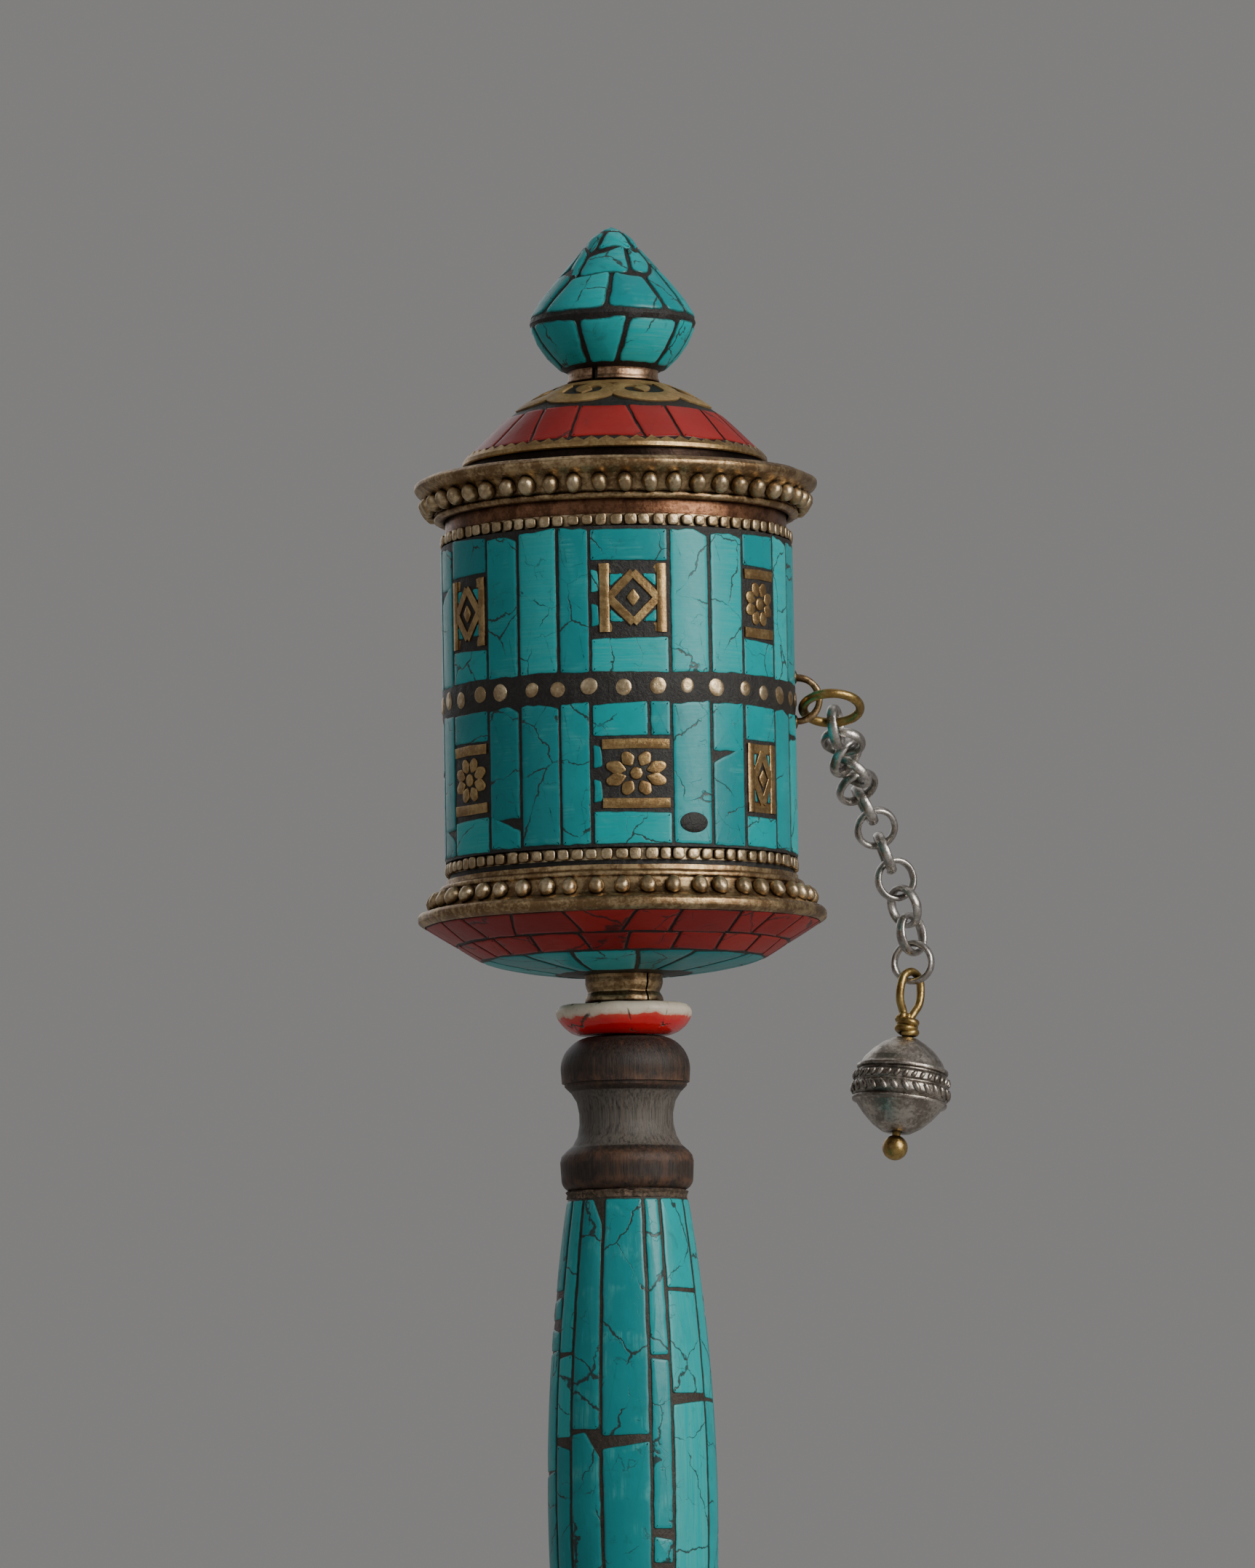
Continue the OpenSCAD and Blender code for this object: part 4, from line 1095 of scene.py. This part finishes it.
def make_finial():
    z = finial_z
    low_face = [(6.4, 1.6), (7.6, 2.3), (9.3, 4), (10.7, 6), (11.6, 7.9), (11.95, 8.7)]
    high_face = [
        (11.95, 8.7), (11.6, 9.8), (10.4, 11.7), (7.9, 14.9), (5.1, 18.1),
        (2.9, 20.8), (1.6, 22.0), (0.05, 22.6),
    ]
    below = Turned(raised(z, low_face))
    above = Turned(raised(z, high_face))
    skin = [(r - 0.12, h) for r, h in low_face]
    skin += [(max(r - 0.12, 0.02), h - 0.08) for r, h in high_face[1:]]
    inner = [
        (0.02, 18.95), (1.0, 18.95), (3.5, 18.0), (6.3, 14.8), (8.8, 11.6), (10.0, 9.7), (10.35, 8.6),
        (10.1, 8), (9.1, 6), (7.7, 4), (5.62, 2.35), (5.62, 1.75),
    ]
    turned_piece(
        "finial_filler", black_filler, "finial", "black_resin", "finial_bed",
        dense(raised(z, skin + inner), 0.9), 160, wobble=0.1, grain=0.7,
    )
    stones = Build()
    look = dict(rise=0.05, puff=0.1, bevel=0.24, soft=0.8, wave=0.1, step=1.3)
    end = below.length - 0.4
    mosaic_row(stones, below, 0.9, end, 9, 8, grout=0.5, slant=1.5, jitter=0.3, tones=(0.7, 1), **look)
    mosaic_row(stones, above, 0.45, 7.9, 9, -10, grout=0.5, slant=2.4, jitter=0.2, bend=(0.0, 1.7), **look)
    mosaic_row(stones, above, 7.9, 13.2, 8, 16, grout=0.45, slant=1.8, jitter=0.2, bend=(1.7, 1.4), **look)
    mosaic_row(stones, above, 13.2, 16.9, 5, 40, grout=0.4, slant=0.8, jitter=0.1, bend=(1.4, 0.0), **look)
    # One round stone at the tip
    top = Turned(raised(z, high_face[::-1]))
    loops = []
    for s, lift in ((1.5, -0.5), (1.5, -0.02), (1.3, 0.06), (0.9, 0.09), (0.4, 0.1)):
        p, _ = top.spot(s)
        loops.append(stones.ring([axis_point(p.x, p.y + lift, 45 * i) for i in range(8)], 0.4, 0.3))
    stones.tubes(loops)
    stones.fan(loops[-1], Vector((0, 0, z + 22.7)), 0.4)
    stones.faces.append(tuple(loops[0]))
    stones.piece("finial_stones", turned_teal, "finial", ["finial_tiles"])
    outline = [
        (5.6, 0), (6.5, 0), (6.62, 0.25), (6.4, 0.7), (6.35, 1.5), (6.5, 1.8), (5.6, 1.8),
    ]
    turned_piece(
        "finial_ferrule_rolled", rubbed_copper, "finial", "brass", "finial_ferrule",
        eased(raised(z, outline), 0.12), 120, wobble=0.1, grain=0.4, a0=-20, a1=332,
    )


# ------------------------------------------------------------------ handle


def arc(cx, cz, r, a0, a1, count=10):
    points = []
    for i in range(count + 1):
        t = math.radians(a0 + (a1 - a0) * i / count)
        points.append((cx + r * math.cos(t), cz + r * math.sin(t)))
    return points


def turned_wood(name, outline, z0, node):
    """Turned wood with its convex edges rubbed and its hollows dusty."""
    outline = dense(raised(z0, outline), 0.5)
    widest = max(p.x for p in outline)
    count = len(outline)
    edges = []
    for i in range(count):
        around = [outline[(i + k) % count].x for k in range(-6, 7)]
        bulge = outline[i].x - sum(around) / len(around)
        edges.append(min(1.0, max(0.0, 0.3 + bulge * 1.8 - (widest - outline[i].x) * 0.09)))
    turned_piece(name, dark_wood, "handle", "wood", node, outline, 200, wobble=0.12, grain=0.2, edges=edges)


def make_handle():
    neck = [
        (AXLE_R, 0), (8.2, 0), *arc(7.6, 1.7, 1.7, -70, 0, 6), (9.4, 4.2), (9.2, 5), (8.7, 5.6), (7.7, 6.5),
        (7, 7.8), (6.65, 9.5), (6.65, 11), (7, 12.7), (7.7, 13.9), (8.6, 14.8), (8.65, 15.2), (9, 15.3),
        *arc(4.4, 17.2, 4.7, 0, 84, 12), (AXLE_R, 21.9),
    ]
    turned_wood("neck_turned", neck, neck_z, "neck_post")
    pommel = [
        (AXLE_R, 1), (5.2, 1), *arc(4.6, 5.4, 4.4, -75, 0), (9.1, 6.6), (8.6, 7.2),
        *arc(9.8, 9.2, 2.3, 240, 130, 8), (8.6, 11.6), (8.9, 12.2), (8.9, 14.2),
        (8.4, grip_z), (AXLE_R, grip_z),
    ]
    turned_wood("pommel_turned", pommel, 0, "pommel")
    outline = eased([(AXLE_R, 0), (4.5, 0), (4.6, 0.3), (4.5, 1.0), (AXLE_R, 1.0)], 0.12)
    turned_piece("pommel_washer_domed", brass, "handle", "brass", "pommel_washer", outline, 120, wobble=0.04)
    z0, z1 = low("grip_joint_ring"), high("grip_joint_ring")
    outline = [(AXLE_R, z0), (8.45, z0), (8.35, (z0 + z1) / 2), (8.6, z1 - 0.15), (8.4, z1), (AXLE_R, z1)]
    turned_piece(
        "joint_cement", cement, "handle", "plaster", "grip_joint_ring",
        dense(outline, 0.35), 220, wobble=0.3, grain=0.9,
    )


def make_grip():
    outline = barrel(grip_z, grip_top, 8.5, 11.9)
    face = Turned(outline)
    skin = [(r - 0.1, z) for r, z in outline]
    core = [(r - 1.7, z) for r, z in outline]
    turned_piece(
        "grip_filler", brown_filler, "handle", "grip_resin", "grip_bed",
        dense(skin + core[::-1], 1.3), 170, wobble=0.1, grain=0.6,
    )
    stones = Build()
    count = 14
    bounds = [360 / count * (i + rnd.uniform(-0.25, 0.25)) + 9 for i in range(count)]
    drift = [rnd.uniform(-2.0, 2.0) for _ in range(count)]
    for i in range(count):
        turn = 360 if i == count - 1 else 0
        j = (i + 1) % count
        s = 0.25
        end = face.length - 0.25
        while s < end - 1.5:
            length = rnd.choice((9, 13, 17, 22, 27, 33)) * rnd.uniform(0.85, 1.15)
            if rnd.random() < 0.16:
                length = rnd.uniform(3, 5)
            stop = min(end, s + length)
            if end - stop < 5:
                stop = end
            gap = rnd.choice((0.3, 0.4, 0.5, 1.3))
            share = ((s / face.length) * 2 - 1, (stop / face.length) * 2 - 1)
            left = [bounds[i] + drift[i] * u for u in share]
            right = [bounds[j] + turn + drift[j] * u for u in share]
            g = [0.2 / face.per_degree(s), 0.2 / face.per_degree(stop)]
            lean = rnd.uniform(-0.6, 0.6)
            top = stop - (gap if stop < end else 0)
            bite = rnd.random()
            corners = [(left[0] + g[0], s), (right[0] - g[0], s + lean * 0.3)]
            if bite < 0.2 and length > 8:
                corners += [(right[1] - g[1] - 0.2, top - 3.5), ((left[1] + right[1]) / 2, top)]
            else:
                corners.append((right[1] - g[1], top + lean * (stop < end)))
            corners.append((left[1] + g[1], top - lean * (stop < end)))
            chip(stones, face, corners, rise=0.03, bevel=0.12, puff=0.05, wave=0.06, step=1.6, soft=0.35)
            s = stop
    stones.piece("grip_stones", long_teal, "handle", ["grip_tiles"])


def make_bone():
    outline = [
        (2.35, 0), (6.4, 0), (7.6, 0.45), (8.6, 1.25), (9.3, 2.2), (9.62, 3.0), (9.6, 3.5), (9.3, 4.0),
        (8.7, 4.35), (5.5, 4.38), (2.35, 4.4),
    ]
    outline = dense(eased(raised(washer_z, outline), 0.3), 0.7)
    bone = bone_shader("stained_bone", washer_z + 2.5)
    turned_piece("bone_disc", bone, "washer", "bone", "bone_washer", outline, 160, wobble=0.34, grain=0.22)


# ------------------------------------------------------------------ chain

joint = {j["name"]: j for j in frame["joints"]}


def mm(values):
    return Vector(values) / MM


def centre_of(node):
    a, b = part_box(node)
    return (mm(a) + mm(b)) / 2


def laid(normal, hang, at):
    """A matrix for a piece drawn round +Z, hanging towards -Y."""
    n = normal.normalized()
    t = (hang - n * hang.dot(n)).normalized()
    s = n.cross(t)
    return Matrix(((s.x, -t.x, n.x, at.x), (s.y, -t.y, n.y, at.y), (s.z, -t.z, n.z, at.z), (0, 0, 0, 1)))


# A link's wire: the radius of its centre line, then half its thickness and half its width
LINK_R, LINK_T, LINK_W = 2.775, 0.48, 0.75


def make_chain():
    links = sorted(n for n in frame["nodes"] if n.startswith("chain_link_"))
    for node in links:
        number = node[-2:]
        spec = joint[f"link_{number}_swing"]
        at = centre_of(node)
        place = laid(Vector(spec["axis"]), at - mm(spec["pos_m"]), at)
        build = Build()
        seam = rnd.uniform(0, 360)
        loops = []
        sides = 60
        for i in range(sides):
            a = 360 * i / sides
            swell = 0.05 * math.exp(-(((a - seam + 180) % 360 - 180) / 9) ** 2)
            loop = []
            for j in range(16):
                t = 2 * math.pi * j / 16
                across = math.cos(t)
                r = LINK_R + LINK_T * across * (1 + swell * 3)
                loop.append(axis_point(r, LINK_W * math.sin(t) * (1 + swell), a))
            push = noise.noise(Vector((math.sin(math.radians(a)), math.cos(math.radians(a)), seam))) * 0.05
            loops.append(build.ring([p * (1 + push / 3) for p in loop]))
        build.tubes(loops, closed=True)
        build.piece(f"link_{number}_rounded", link_silver, f"link_{number}", [node], place)


def make_jump_ring():
    at = centre_of("jump_ring")
    tip = math.radians(-25)
    build = Build()
    path = []
    for i in range(73):
        t = math.radians(20 + 355 * i / 72)
        r = 4.05 + 0.06 * math.sin(t * 2)
        across = r * math.sin(t)
        path.append(at + Vector((r * math.cos(t), across * math.cos(tip), across * math.sin(tip))))
    wire(build, path, lambda t: 0.66 + 0.02 * math.sin(t * 31), sides=18)
    build.piece("jump_ring_wire", gold_wire, "jump_ring", ["jump_ring"])


def make_hanger():
    spin = joint["bead_spin"]
    swing = joint["hanger_swing"]
    hang = Vector(spin["axis"])
    at = mm(spin["pos_m"])
    place = laid(Vector(swing["axis"]), hang, at)
    build = Build()
    # A pear-shaped loop of wire whose end winds round the shank
    path = []
    for spot in (
        (0.25, -4.9, 0.1), (0.9, -3.9, 0.15), (1.9, -2.4, 0.1), (2.15, -0.6, 0), (1.6, 1.3, 0), (0.0, 2.1, 0),
        (-1.6, 1.3, 0), (-2.15, -0.6, 0), (-1.9, -2.4, -0.1), (-0.9, -3.9, -0.25),
    ):
        path.append(Vector(spot))
    for i in range(34):
        t = math.radians(180 + 32 * i)
        wide = 1.12 + 0.16 * math.sin(i * 0.9)
        path.append(Vector((wide * math.cos(t), -4.75 - i * 0.072 - 0.12 * math.sin(i), wide * math.sin(t))))
    wire(build, curve(path, 5), 0.6, sides=12)
    bead_mid = (centre_of("counterweight_bead") - at).length
    bottom = bead_mid + 7.4
    wire(build, [Vector((0, y, 0)) for y in (-4.4, -8, -bottom + 1, -bottom - 0.6)], 0.6, sides=16)
    ball = Matrix.Translation((0, -(bottom + 1.75), 0)) @ Matrix.Rotation(math.radians(90), 4, "X")
    blob(build, ball, (1.84, 1.84, 1.84), rings=16, sides=28)
    build.piece("headpin_wire", gold_wire, "hanger", ["headpin"], place)
    make_bead(laid(Vector(swing["axis"]), hang, centre_of("counterweight_bead")))


def make_bead(place):
    """A hollow silver bead with plain ridges and two plaited bands round it."""
    build = Build()
    upright = place @ Matrix.Rotation(math.radians(-90), 4, "X")
    outline = [
        (0.72, -6.8), (2.1, -6.9), (3.6, -5.95), (5.0, -4.6), (5.95, -3.4), (6.3, -2.9), (6.85, -2.75),
        (6.9, -2.3), (6.5, -2.05), (6.7, -1.8), (6.95, -1.5), (6.95, -0.45), (6.65, -0.1), (6.65, 0.1),
        (6.85, 0.3), (6.7, 1.25), (6.35, 1.55), (6.25, 1.85), (6.65, 2.05), (6.6, 2.5), (6.1, 2.8),
        (5.65, 3.7), (4.4, 5.15), (3.2, 6.1), (2.2, 6.65), (1.9, 6.85), (0.72, 6.8),
    ]
    lathe(build, eased(outline, 0.12), 160, wobble=0.06, grain=0.3)
    plaits = ((-0.98, 6.92, 26, (0.5, 0.95, 0.4), 38), (0.78, 6.8, 34, (0.36, 0.66, 0.34), -34))
    for level, reach, count, size, lean in plaits:
        for i in range(count):
            blob(build, frame_at(360 / count * i, reach, level, 0, lean), size, rings=7, sides=10)
    build.piece("bead_silver", silver, "bead", ["counterweight_bead"], upright)


# ------------------------------------------------------------------ everything

make_drum_mosaic()
make_drum_filler()
make_studs()
make_strip("strip_beads_top", "bead_strip_top", STRIPS[1])
make_strip("strip_beads_bottom", "bead_strip_bottom", STRIPS[0])
make_base()
make_bush()
make_neck_band()
make_eyelet()
make_scroll()
make_lid()
make_finial()
make_handle()
make_grip()
make_bone()
make_chain()
make_jump_ring()
make_hanger()

KEPT = {
    steel: ["axle_rod", "finial_nut"],
    dark_wood: ["grip_core", "finial_core"],
    copper: ["drum_shell", "drum_floor", "scroll_tube"],
    # The lid plate and dome take the near-black copper, painted shade for the gap below the dome's edge band
    painted_shade_copper: ["lid_plate", "lid_dome"],
    saffron: ["scroll_wrap", "scroll_ties"],
}
for material, nodes in KEPT.items():
    for node in nodes:
        mesh = frame["nodes"][node].data
        mesh.materials.clear()
        mesh.materials.append(material)


# ------------------------------------------------------------------ floor and light


def make_floor():
    mesh = bpy.data.meshes.new("floor")
    half = 3.0  # metres
    corners = [(-half, -half, 0), (half, -half, 0), (half, half, 0), (-half, half, 0)]
    mesh.from_pydata(corners, [], [(0, 1, 2, 3)])
    floor = bpy.data.objects.new("floor", mesh)
    bpy.context.scene.collection.objects.link(floor)
    s = Shader("floor_grey", Roughness=0.8)
    s.set(Base_Color=s.mix(s.noise(s.where(), 0.01), (0.40, 0.39, 0.385), (0.44, 0.43, 0.42)))
    mesh.materials.append(s.material)


LIGHT_AIM = Vector((0, 0, 0.15))


def soft_light(name, place, size, power, tint):
    lamp = bpy.data.lights.new(name, "AREA")
    lamp.shape = "RECTANGLE"
    lamp.size, lamp.size_y = size
    lamp.energy = power
    lamp.color = tint
    thing = bpy.data.objects.new(name, lamp)
    thing.location = place
    thing.rotation_mode = "QUATERNION"
    thing.rotation_quaternion = (LIGHT_AIM - Vector(place)).to_track_quat("-Z", "Y")
    bpy.context.scene.collection.objects.link(thing)


make_floor()
soft_light("key", (0.95, -0.75, 0.62), (0.45, 0.75), 14, (1.0, 0.97, 0.93))
soft_light("fill", (-0.9, -0.9, 0.55), (0.8, 0.8), 0.8, (0.93, 0.96, 1.0))
soft_light("top", (0.1, 0.35, 1.1), (0.7, 0.7), 0.7, (1.0, 0.98, 0.96))
soft_light("back", (-0.5, 1.2, 0.7), (0.9, 0.9), 1.6, (0.96, 0.98, 1.0))

world = bpy.data.worlds.new("studio")
world.use_nodes = True
sky = world.node_tree.nodes["Background"]
sky.inputs["Color"].default_value = (0.218, 0.214, 0.211, 1.0)
sky.inputs["Strength"].default_value = 1.0
bpy.context.scene.world = world
